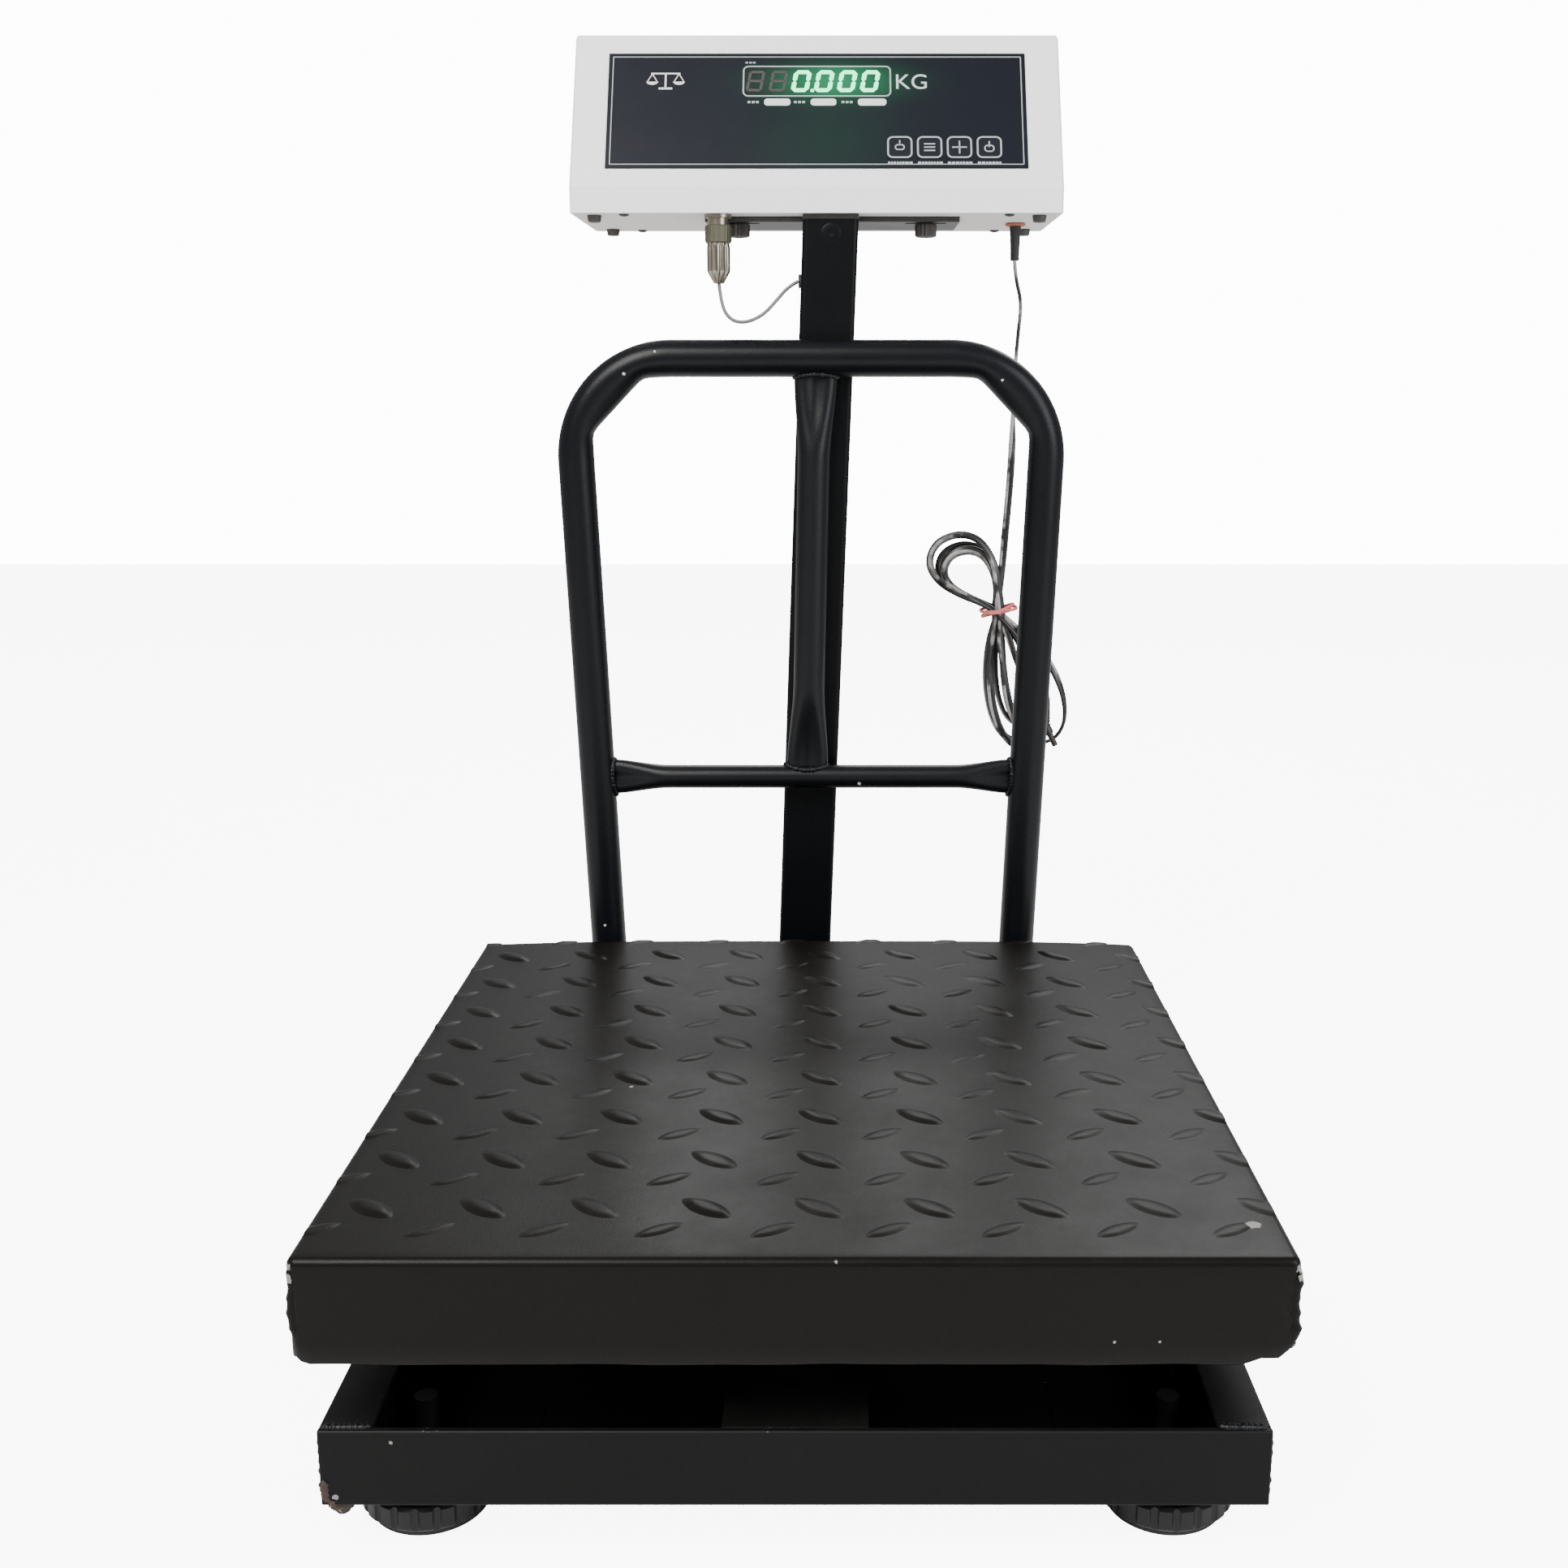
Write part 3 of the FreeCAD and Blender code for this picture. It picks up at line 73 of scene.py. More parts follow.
def add_light(name, spot, target, size, watts, tint):
    lamp = bpy.data.lights.new(name, "AREA")
    lamp.shape = "RECTANGLE"
    lamp.size, lamp.size_y = size
    lamp.energy = watts
    lamp.color = tint
    holder = bpy.data.objects.new(name, lamp)
    holder.location = spot
    aim = Vector(target) - Vector(spot)
    holder.rotation_euler = aim.to_track_quat("-Z", "Y").to_euler()
    bpy.context.collection.objects.link(holder)


def add_studio():
    """A white studio: the surroundings are brighter to the eye than the light that they give."""
    world = bpy.data.worlds.new("studio")
    world.use_nodes = True
    wires = Wiring(world.node_tree)
    background = world.node_tree.nodes["Background"]
    background.inputs["Color"].default_value = (0.96, 0.97, 0.99, 1)
    seen = wires.add("ShaderNodeLightPath").outputs["Is Camera Ray"]
    wires.feed(background.inputs["Strength"], wires.blend_number(seen, 0.50, 14.0))
    bpy.context.scene.world = world
    add_light("key", (-0.9, -1.3, 1.9), (0, 0, 0.25), (1.2, 1.2), 76, (1, 0.98, 0.95))
    add_light("fill", (1.4, -1.0, 1.1), (0, 0, 0.3), (1.0, 1.4), 30, (0.95, 0.97, 1))
    add_light("rim", (0.3, 1.6, 1.5), (0, 0, 0.35), (1.6, 1.0), 24, (1, 1, 1))
    bm = bmesh.new()
    bmesh.ops.create_grid(bm, x_segments=1, y_segments=1, size=4)
    floor = add_mesh("floor", bm)
    paper = paint("floor_paper", (0.90, 0.90, 0.90), 0.8, grain=0.004, relief=0.00002,
                  mottle=0.01)
    wires = Wiring(paper.node_tree)
    shader = paper.node_tree.nodes["Principled BSDF"]
    shader.inputs["Emission Color"].default_value = (1, 1, 1, 1)
    seen = wires.add("ShaderNodeLightPath").outputs["Is Camera Ray"]
    wires.feed(shader.inputs["Emission Strength"], wires.sum("MULTIPLY", seen, 8.0))
    floor.data.materials.append(paper)


# ---------------------------------------------------------------- mesh tools

def add_mesh(name, bm, sharp=35):
    """Turns a bmesh into an object, smooth but for edges sharper than the angle."""
    mesh = bpy.data.meshes.new(name)
    bm.to_mesh(mesh)
    bm.free()
    for face in mesh.polygons:
        face.use_smooth = True
    mesh.set_sharp_from_angle(angle=math.radians(sharp))
    thing = bpy.data.objects.new(name, mesh)
    bpy.context.collection.objects.link(thing)
    return thing


def settle(thing, body, material=None, stands_for=()):
    """The lines every piece needs: its finish, its body and what it replaces."""
    if material is not None:
        thing.data.materials.append(material)
    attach(thing, body)
    if stands_for:
        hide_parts(*stands_for)
    return thing


def joined_mesh(parts):
    """Several bmeshes as one."""
    whole = bmesh.new()
    for part in parts:
        scrap = bpy.data.meshes.new("scrap")
        part.to_mesh(scrap)
        part.free()
        whole.from_mesh(scrap)
        bpy.data.meshes.remove(scrap)
    return whole


def joined(name, parts, sharp=35):
    """One object out of several bmeshes."""
    return add_mesh(name, joined_mesh(parts), sharp)


def skin(rings, closed=False, caps=True):
    """A bmesh through rings of points that all have the same count."""
    bm = bmesh.new()
    loops = [[bm.verts.new(point) for point in ring] for ring in rings]
    pairs = list(zip(loops, loops[1:]))
    if closed:
        pairs.append((loops[-1], loops[0]))
    for one, two in pairs:
        for i in range(len(one)):
            after = (i + 1) % len(one)
            bm.faces.new((one[i], one[after], two[after], two[i]))
    if caps and not closed:
        bm.faces.new(list(reversed(loops[0])))
        bm.faces.new(loops[-1])
    bmesh.ops.recalc_face_normals(bm, faces=bm.faces)
    return bm


def circle_ring(centre, across, up, radius, count=24):
    return [centre + (across * math.cos(turn) + up * math.sin(turn)) * radius
            for turn in (2 * math.pi * i / count for i in range(count))]


def turned(profile, spot, axis=(0, 0, 1), count=48, flutes=0, depth=0.0, fluted=()):
    """A solid of revolution. The profile is (radius, height) pairs from its lower middle to its
    upper one; rows named in fluted get that many shallow grooves."""
    turn = Vector((0, 0, 1)).rotation_difference(Vector(axis)).to_matrix().to_4x4()
    place = Matrix.Translation(Vector(spot)) @ turn
    rings = []
    for row, (radius, height) in enumerate(profile):
        ring = []
        for i in range(count):
            angle = 2 * math.pi * i / count
            wave = depth * (0.5 - 0.5 * math.cos(flutes * angle)) if row in fluted else 0.0
            reach = max(radius - wave, 0.00001)
            ring.append(place @ Vector((reach * math.cos(angle), reach * math.sin(angle), height)))
        rings.append(ring)
    return skin(rings)


def smooth_step(low, high, value):
    share = min(max((value - low) / (high - low), 0), 1)
    return share * share * (3 - 2 * share)


def transported(points):
    """Directions along a line of points, with a side vector carried along without twist."""
    ways = [(after - before).normalized() for before, after in
            zip(points[:1] + points[:-1], points[1:] + points[-1:])]
    side = ways[0].orthogonal().normalized()
    sides = []
    for way in ways:
        side = (side - way * side.dot(way)).normalized()
        sides.append(side)
    return ways, sides


def bead(points, radius, seed, pitch=0.0022, count=10):
    """A weld bead: a lumpy, rippled rope along a line of points."""
    points = [Vector(point) for point in points]
    lengths = [0.0]
    for before, after in zip(points, points[1:]):
        lengths.append(lengths[-1] + (after - before).length)
    steps = max(int(lengths[-1] / pitch) * 3, 6)
    line = []
    for step in range(steps + 1):
        far = lengths[-1] * step / steps
        leg = max(i for i in range(len(points) - 1) if lengths[i] <= far + 1e-9)
        share = (far - lengths[leg]) / (lengths[leg + 1] - lengths[leg])
        line.append(points[leg].lerp(points[leg + 1], share))
    ways, sides = transported(line)
    rings = []
    for step, (spot, way, side) in enumerate(zip(line, ways, sides)):
        end = min(step, steps - step) / 2.0
        swell = 1 + 0.16 * math.cos(step * 2 * math.pi / 3)
        swell *= 1 + 0.35 * noise.noise(Vector((step * 0.37, seed, 0)))
        swell *= min(1, 0.35 + end)
        rings.append(circle_ring(spot, side, way.cross(side), radius * swell, count))
    return skin(rings)


def printed(name, parts, body, material):
    """Flat shapes with a small thickness, as one piece whose faces all stay flat."""
    return settle(joined(name, parts, sharp=20), body, material)


def eased(node, width, body, material, rim):
    """A copy of a CAD part whose sharp edges are rounded; the rounded rims get the rim finish."""
    bm = bmesh.new()
    bm.from_mesh(nodes[node].data)
    bmesh.ops.remove_doubles(bm, verts=bm.verts, dist=0.00001)
    bmesh.ops.dissolve_limit(bm, angle_limit=math.radians(1), verts=bm.verts, edges=bm.edges)
    piece = add_mesh(node + "_eased", bm)
    piece.data.materials.append(material)
    piece.data.materials.append(rim)
    bevel = piece.modifiers.new("ease", "BEVEL")
    bevel.width = width
    bevel.segments = 3
    bevel.limit_method = "ANGLE"
    bevel.angle_limit = math.radians(40)
    bevel.material = 1
    bevel.harden_normals = True
    make_plain(piece)
    return settle(piece, body, stands_for=[node])


def make_plain(piece):
    """Applies every modifier and leaves a plain mesh."""
    bpy.context.view_layer.update()
    graph = bpy.context.evaluated_depsgraph_get()
    mesh = bpy.data.meshes.new_from_object(piece.evaluated_get(graph))
    piece.modifiers.clear()
    piece.data = mesh


# ---------------------------------------------------------------- shader tools

class Wiring:
    """Shorthand for making the nodes of one tree."""

    def __init__(self, tree):
        self.tree = tree

    def add(self, kind, feeds=None, **settings):
        node = self.tree.nodes.new(kind)
        for name, value in settings.items():
            setattr(node, name, value)
        for name, value in (feeds or {}).items():
            self.feed(node.inputs[name], value)
        return node

    def feed(self, socket, value):
        if isinstance(value, bpy.types.NodeSocket):
            self.tree.links.new(value, socket)
        else:
            socket.default_value = value

    def sum(self, operation, *values, clamp=False):
        node = self.add("ShaderNodeMath", operation=operation, use_clamp=clamp)
        for socket, value in zip(node.inputs, values):
            self.feed(socket, value)
        return node.outputs[0]

    def vector(self, operation, one, two, output=0):
        node = self.add("ShaderNodeVectorMath", operation=operation)
        self.feed(node.inputs[0], one)
        self.feed(node.inputs["Scale" if operation == "SCALE" else 1], two)
        return node.outputs[output]

    def between(self, value, low, high, to_low=0.0, to_high=1.0):
        node = self.add("ShaderNodeMapRange", {"Value": value, "From Min": low, "From Max": high,
                                               "To Min": to_low, "To Max": to_high},
                        interpolation_type="SMOOTHSTEP")
        return node.outputs["Result"]

    def blend(self, share, one, two):
        node = self.add("ShaderNodeMix", data_type="RGBA")
        for socket, value in zip((node.inputs[0], node.inputs[6], node.inputs[7]),
                                 (share, one, two)):
            self.feed(socket, value)
        return node.outputs[2]

    def blend_number(self, share, one, two):
        node = self.add("ShaderNodeMix", data_type="FLOAT")
        for socket, value in zip((node.inputs[0], node.inputs[2], node.inputs[3]),
                                 (share, one, two)):
            self.feed(socket, value)
        return node.outputs[0]

    def noise(self, where, scale, detail=3.0, roughness=0.5):
        return self.add("ShaderNodeTexNoise", {"Vector": where, "Scale": scale,
                                               "Detail": detail, "Roughness": roughness})


def shader_group(name, inputs, outputs):
    """An empty node group with named inputs and outputs."""
    tree = bpy.data.node_groups.new(name, "ShaderNodeTree")
    kinds = {"number": "NodeSocketFloat", "vector": "NodeSocketVector",
             "colour": "NodeSocketColor"}
    for label, kind in inputs:
        tree.interface.new_socket(label, in_out="INPUT", socket_type=kinds[kind])
    for label, kind in outputs:
        tree.interface.new_socket(label, in_out="OUTPUT", socket_type=kinds[kind])
    wires = Wiring(tree)
    return tree, wires, wires.add("NodeGroupInput").outputs, wires.add("NodeGroupOutput").inputs


def film_group():
    """A paint or moulding's skin: uneven tone, uneven gloss and a fine relief."""
    tree, wires, given, result = shader_group(
        "surface_film",
        (("Colour", "colour"), ("Mottle", "number"), ("Grain", "number"), ("Gloss", "number"),
         ("Gloss Spread", "number")),
        (("Colour", "colour"), ("Roughness", "number"), ("Height", "number")))
    where = wires.add("ShaderNodeTexCoord").outputs["Object"]
    broad = wires.noise(where, 14.0, 4.0, 0.6).outputs[0]
    close = wires.noise(where, 120.0, 3.0, 0.6).outputs[0]
    mixed = wires.sum("ADD", wires.sum("MULTIPLY", broad, 0.65),
                      wires.sum("MULTIPLY", close, 0.35))
    swing = wires.sum("MULTIPLY", wires.sum("SUBTRACT", mixed, 0.5), given["Mottle"])
    tone = wires.sum("ADD", 1.0, wires.sum("MULTIPLY", swing, 2.0))
    wires.feed(result["Colour"], wires.vector("SCALE", given["Colour"], tone))
    haze = wires.noise(where, 32.0, 4.0, 0.65).outputs[0]
    rough = wires.sum("ADD", given["Gloss"],
                      wires.sum("MULTIPLY", wires.sum("SUBTRACT", haze, 0.5),
                                given["Gloss Spread"]), clamp=True)
    wires.feed(result["Roughness"], rough)
    per_metre = wires.sum("DIVIDE", 1.0, given["Grain"])
    fine = wires.add("ShaderNodeTexNoise", {"Vector": where, "Scale": per_metre, "Detail": 2.0})
    wires.feed(result["Height"], fine.outputs[0])
    return tree


def spot_group():
    """A ragged chip about one point: the mask is 1 inside it."""
    tree, wires, given, result = shader_group(
        "ragged_spot", (("Centre", "vector"), ("Reach", "number"), ("Others", "number")),
        (("Mask", "number"),))
    where = wires.add("ShaderNodeTexCoord").outputs["Object"]
    gap = wires.vector("DISTANCE", where, given["Centre"], "Value")
    ragged = wires.noise(where, 700.0, 3.0, 0.7).outputs[0]
    reach = wires.sum("MULTIPLY", given["Reach"],
                      wires.sum("ADD", 0.25, wires.sum("MULTIPLY", ragged, 1.5)))
    inside = wires.sum("LESS_THAN", gap, reach)
    wires.feed(result["Mask"], wires.sum("MAXIMUM", inside, given["Others"]))
    return tree


def scratch_group():
    """A thin broken line between two points: the mask is 1 on it."""
    tree, wires, given, result = shader_group(
        "fine_scratch",
        (("Start", "vector"), ("End", "vector"), ("Reach", "number"), ("Others", "number")),
        (("Mask", "number"),))
    where = wires.add("ShaderNodeTexCoord").outputs["Object"]
    whole = wires.vector("SUBTRACT", given["End"], given["Start"])
    part = wires.vector("SUBTRACT", where, given["Start"])
    share = wires.sum("DIVIDE", wires.vector("DOT_PRODUCT", part, whole, "Value"),
                      wires.vector("DOT_PRODUCT", whole, whole, "Value"), clamp=True)
    nearest = wires.vector("SCALE", whole, share)
    gap = wires.vector("DISTANCE", part, nearest, "Value")
    broken = wires.noise(where, 260.0, 3.0, 0.7).outputs[0]
    reach = wires.sum("MULTIPLY", given["Reach"], wires.between(broken, 0.42, 0.62, 0.0, 1.6))
    inside = wires.sum("LESS_THAN", gap, reach)
    wires.feed(result["Mask"], wires.sum("MAXIMUM", inside, given["Others"]))
    return tree


def wear_group():
    """Chips where a rim is near: Near is 1 on the rim, Amount says how much is chipped."""
    tree, wires, given, result = shader_group(
        "rim_wear", (("Near", "number"), ("Amount", "number")), (("Mask", "number"),))
    where = wires.add("ShaderNodeTexCoord").outputs["Object"]
    patches = wires.noise(where, 26.0, 2.0, 0.6).outputs[0]
    bits = wires.noise(where, 420.0, 3.0, 0.7).outputs[0]
    both = wires.sum("ADD", wires.sum("MULTIPLY", patches, 0.55),
                     wires.sum("MULTIPLY", bits, 0.45))
    line = wires.sum("SUBTRACT", 1.0, given["Amount"])
    chipped = wires.sum("GREATER_THAN", wires.sum("MULTIPLY", both, given["Near"]), line)
    wires.feed(result["Mask"], chipped)
    return tree


def dust_group():
    """Dust that lies on faces that look up."""
    tree, wires, given, result = shader_group(
        "lying_dust", (("Amount", "number"),), (("Mask", "number"),))
    where = wires.add("ShaderNodeTexCoord").outputs["Object"]
    facing = wires.add("ShaderNodeSeparateXYZ",
                       {"Vector": wires.add("ShaderNodeNewGeometry").outputs["Normal"]})
    upward = wires.between(facing.outputs["Z"], 0.4, 1.0)
    clouds = wires.between(wires.noise(where, 22.0, 5.0, 0.7).outputs[0], 0.35, 0.75)
    wires.feed(result["Mask"], wires.sum("MULTIPLY", wires.sum("MULTIPLY", upward, clouds),
                                         given["Amount"]))
    return tree


FILM = film_group()
SPOT = spot_group()
SCRATCH = scratch_group()
WEAR = wear_group()
DUST = dust_group()


def grouped(wires, tree, feeds):
    """Places a node group and feeds its inputs by name."""
    node = wires.add("ShaderNodeGroup", node_tree=tree)
    for name, value in feeds.items():
        wires.feed(node.inputs[name], value)
    return node.outputs


def new_material(name):
    material = bpy.data.materials.new(name)
    material.use_nodes = True
    wires = Wiring(material.node_tree)
    shader = material.node_tree.nodes["Principled BSDF"]
    return material, wires, shader


def opaque(colour):
    """A colour with full alpha."""
    return (*colour, 1.0)


CHIP_COLOUR = (0.50, 0.49, 0.46)


def paint(name, colour, rough, grain=0.0006, relief=0.00003, mottle=0.12, gloss_spread=0.16,
          metallic=0.0, specular=0.5, coat=0.0, dust=0.0, wear=0.0, spots=(), scratches=(),
          near=None, chip=CHIP_COLOUR, chip_rough=0.6, chip_metal=0.0):
    """A solid finish with uneven tone and gloss, and dust, chips and worn rims where asked.
    near(wires) gives how close a point is to a rim; without it the whole surface is one."""
    material, wires, shader = new_material(name)
    film = grouped(wires, FILM, {"Colour": opaque(colour), "Mottle": mottle, "Grain": grain,
                                 "Gloss": rough, "Gloss Spread": gloss_spread})
    tint, dull = film["Colour"], film["Roughness"]
    metal = None
    if dust:
        mask = grouped(wires, DUST, {"Amount": dust})["Mask"]
        tint = wires.blend(mask, tint, (0.30, 0.28, 0.25, 1))
        dull = wires.blend_number(mask, dull, 0.9)
    mask = None
    if wear:
        closeness = near(wires) if near else 1.0
        mask = grouped(wires, WEAR, {"Near": closeness, "Amount": wear})["Mask"]
    for x, y, z, reach in spots:
        feeds = {"Centre": (x, y, z), "Reach": reach}
        if mask is not None:
            feeds["Others"] = mask
        mask = grouped(wires, SPOT, feeds)["Mask"]
    for *start, end_x, end_y, end_z in scratches:
        feeds = {"Start": tuple(start), "End": (end_x, end_y, end_z), "Reach": 0.0003}
        if mask is not None:
            feeds["Others"] = mask
        mask = grouped(wires, SCRATCH, feeds)["Mask"]
    if mask is not None:
        tint = wires.blend(mask, tint, opaque(chip))
        dull = wires.blend_number(mask, dull, chip_rough)
        metal = wires.blend_number(mask, metallic, chip_metal) if chip_metal != metallic else None
    wires.feed(shader.inputs["Base Color"], tint)
    wires.feed(shader.inputs["Roughness"], dull)
    shader.inputs["Metallic"].default_value = metallic
    if metal is not None:
        wires.feed(shader.inputs["Metallic"], metal)
    shader.inputs["Specular IOR Level"].default_value = specular
    shader.inputs["Coat Weight"].default_value = coat
    shader.inputs["Coat Roughness"].default_value = 0.15
    bump = wires.add("ShaderNodeBump", {"Height": film["Height"], "Distance": relief,
                                        "Strength": 1.0})
    wires.feed(shader.inputs["Normal"], bump.outputs[0])
    return material


def pan_rim(wires):
    """1 on the pan's upper rim and its upright corners, and 0 a few millimetres away."""
    where = wires.add("ShaderNodeSeparateXYZ",
                      {"Vector": wires.add("ShaderNodeTexCoord").outputs["Object"]})
    across = wires.sum("ABSOLUTE", where.outputs["X"])
    along = wires.sum("ABSOLUTE", wires.sum("SUBTRACT", where.outputs["Y"], PAN_MIDDLE.y))
    high = where.outputs["Z"]
    side_gap = wires.sum("SUBTRACT", PAN_HALF, wires.sum("MAXIMUM", across, along))
    corner_gap = wires.sum("SUBTRACT", PAN_HALF, wires.sum("MINIMUM", across, along))
    top_gap = wires.sum("SUBTRACT", PAN_HIGH.z, high)
    low_gap = wires.sum("SUBTRACT", high, PAN_LOW.z)
    upper = wires.sum("MAXIMUM", side_gap, top_gap)
    nearest = wires.sum("MINIMUM", upper, wires.sum("MINIMUM", corner_gap, low_gap))
    return wires.between(nearest, 0.0010, 0.0026, 1.0, 0.0)


# ---------------------------------------------------------------- finishes

PAN_SPOTS = ((0.1870, -0.2403, 0.1355, 0.0030), (-0.0836, -0.0963, 0.1355, 0.0011),
             (0.1998, -0.2700, 0.1310, 0.0022), (0.1998, -0.2700, 0.1275, 0.0015),
             (-0.1995, -0.2700, 0.1320, 0.0018), (-0.1995, -0.2700, 0.1270, 0.0022),
             (0.0166, -0.2700, 0.1348, 0.0014), (0.0826, -0.2700, 0.1348, 0.0012),
             (0.1106, -0.2700, 0.1348, 0.0011), (-0.0840, -0.2700, 0.1348, 0.0008),
             (0.1270, -0.2700, 0.0995, 0.0006), (0.1450, -0.2700, 0.0996, 0.0006))
PAN_SCRATCHES = ((-0.1592, -0.2600, 0.1355, -0.1544, -0.2584, 0.1355),
                 (-0.1912, -0.2460, 0.1355, -0.1880, -0.2452, 0.1355),
                 (0.1130, -0.2700, 0.1348, 0.1580, -0.2700, 0.1348))
HOOP_SPOTS = ((-0.0880, 0.1364, 0.4904, 0.0011), (-0.1060, 0.1368, 0.4776, 0.0010),
              (-0.0780, 0.1366, 0.4925, 0.0009), (-0.1240, 0.1365, 0.2720, 0.0010),
              (0.1130, 0.1370, 0.4740, 0.0008), (-0.1265, 0.1365, 0.1450, 0.0008))
CROSSBAR_SPOTS = ((0.0310, 0.1403, 0.2335, 0.0012),)
BASE_SPOTS = ((-0.1640, -0.2640, 0.0510, 0.0008), (-0.188, -0.2640, 0.026, 0.0012))

PAN_PAINT = paint("pan_paint", (0.0040, 0.0035, 0.0028), 0.35, grain=0.0009, relief=0.00005,
                  mottle=0.26, gloss_spread=0.20, specular=0.115, dust=0.006, wear=0.20,
                  near=pan_rim, spots=PAN_SPOTS, scratches=PAN_SCRATCHES,
                  chip=(0.24, 0.23, 0.215))
BASE_PAINT = paint("frame_paint", (0.0038, 0.0037, 0.0036), 0.44, grain=0.0012, relief=0.00005,
                   mottle=0.25, specular=0.12, dust=0.012, spots=BASE_SPOTS,
                   chip=(0.22, 0.21, 0.20))
BASE_RIM = paint("frame_rim", (0.0060, 0.0059, 0.0058), 0.42, mottle=0.3, specular=0.2,
                 wear=0.35, chip=(0.12, 0.115, 0.11))
RAIL_PAINT = paint("rail_paint", (0.0024, 0.0029, 0.0042), 0.34, grain=0.0011, relief=0.00006,
                   mottle=0.22, gloss_spread=0.14, specular=0.19, dust=0.004,
                   spots=HOOP_SPOTS)
BAR_PAINT = paint("bar_paint", (0.0024, 0.0029, 0.0042), 0.36, grain=0.0011, relief=0.00007,
                  mottle=0.22, specular=0.24, spots=CROSSBAR_SPOTS)
COLUMN_PAINT = paint("column_paint", (0.0013, 0.0016, 0.0021), 0.42, grain=0.0012,
                     relief=0.00005, mottle=0.25, specular=0.13, dust=0.006)
RUST = paint("weld_rust", (0.036, 0.020, 0.013), 0.75, grain=0.0004, relief=0.0002, mottle=0.9,
             wear=0.40, chip=(0.26, 0.22, 0.19))
WELD_PAINT = paint("weld_paint", (0.0036, 0.0040, 0.0052), 0.40, grain=0.0008, relief=0.0001,
                   mottle=0.4, specular=0.24, wear=0.28, chip=(0.16, 0.155, 0.15))
CASE_COAT = paint("case_coat", (0.935, 0.945, 0.945), 0.46, grain=0.00045, relief=0.00004,
                  mottle=0.025, gloss_spread=0.08,
                  spots=((CASE_LOW.x + 0.0115, 0.1548, 0.5858, 0.0005),), chip=(0.2, 0.2, 0.2))
FLOOR_COAT = paint("case_floor_coat", (0.74, 0.72, 0.69), 0.52, grain=0.00045, relief=0.00004,
                   mottle=0.05)
OVERLAY_INK = (0.0052, 0.0064, 0.0115)
ZINC = paint("zinc_plate", (0.50, 0.50, 0.48), 0.38, grain=0.0003, relief=0.00001, mottle=0.35,
             metallic=1.0)
DARK_STEEL = paint("dark_steel", (0.060, 0.057, 0.054), 0.45, grain=0.0003, relief=0.00002,
                   mottle=0.4, metallic=0.8)
PLUG_PLASTIC = paint("plug_plastic", (0.020, 0.018, 0.017), 0.45, grain=0.0003,
                     relief=0.00003, mottle=0.4)
DARK_PIN = paint("dark_pin", (0.06, 0.055, 0.05), 0.35, grain=0.0003, relief=0.00001,
                 mottle=0.4, metallic=0.7)
CELL_METAL = paint("milled_aluminium", (0.70, 0.71, 0.72), 0.30, grain=0.0002, relief=0.000008,
                   mottle=0.12, metallic=1.0)
NICKEL = paint("dulled_nickel", (0.30, 0.27, 0.215), 0.28, grain=0.0003, relief=0.000008,
               mottle=0.4, metallic=1.0)
OLIVE = paint("olive_ring", (0.10, 0.095, 0.065), 0.50, grain=0.0004, relief=0.00003, mottle=0.5,
              metallic=0.6)
RUBBER = paint("black_rubber", (0.022, 0.022, 0.022), 0.75, grain=0.0004, relief=0.00004,
               mottle=0.3)
WHEEL_PLASTIC = paint("wheel_plastic", (0.006, 0.006, 0.0065), 0.40, grain=0.0005,
                      relief=0.00004, mottle=0.35, specular=0.3, dust=0.04)
KNOB_PLASTIC = paint("knob_plastic", (0.050, 0.044, 0.039), 0.48, grain=0.0004, relief=0.00004,
                     mottle=0.4)
SOLDER_MASK = paint("solder_mask", (0.012, 0.12, 0.045), 0.30, grain=0.0006, relief=0.00002,
                    mottle=0.3, coat=0.4)
BATTERY_SHELL = paint("battery_shell", (0.04, 0.04, 0.045), 0.5, mottle=0.2)
RED_BAND = paint("red_band", (0.58, 0.13, 0.12), 0.55, grain=0.0003, relief=0.00005, mottle=0.5,
                 wear=0.42, chip=(0.80, 0.42, 0.38), chip_rough=0.5)
RED_GROMMET = paint("red_grommet", (0.34, 0.10, 0.06), 0.55, mottle=0.5)
PRINT_WHITE = paint("panel_print", (0.72, 0.73, 0.72), 0.45, grain=0.0003, relief=0.000004,
                    mottle=0.12)
PRINT_PALE = paint("panel_unit", (0.50, 0.51, 0.51), 0.45, grain=0.0003, relief=0.000004,
                   mottle=0.2)
PRINT_GREY = paint("panel_line", (0.33, 0.35, 0.355), 0.45, grain=0.0003, relief=0.000004,
                   mottle=0.2)
CABLE_GREY = paint("cell_cable_skin", (0.17, 0.17, 0.175), 0.5, mottle=0.3)


def halo_reach(wires, spot, reach_across, reach_up):
    """A soft mask about a spot on the sloping panel."""
    where = wires.add("ShaderNodeTexCoord").outputs["Object"]
    parts = wires.add("ShaderNodeSeparateXYZ",
                      {"Vector": wires.vector("SUBTRACT", where, tuple(spot))})
    across = wires.sum("DIVIDE", parts.outputs["X"], reach_across)
    up = wires.sum("DIVIDE", parts.outputs["Z"], reach_up * math.sin(SLOPE_TURN))
    far = wires.sum("ADD", wires.sum("MULTIPLY", across, across), wires.sum("MULTIPLY", up, up))
    return wires.sum("EXPONENT", wires.sum("MULTIPLY", far, -1.0))


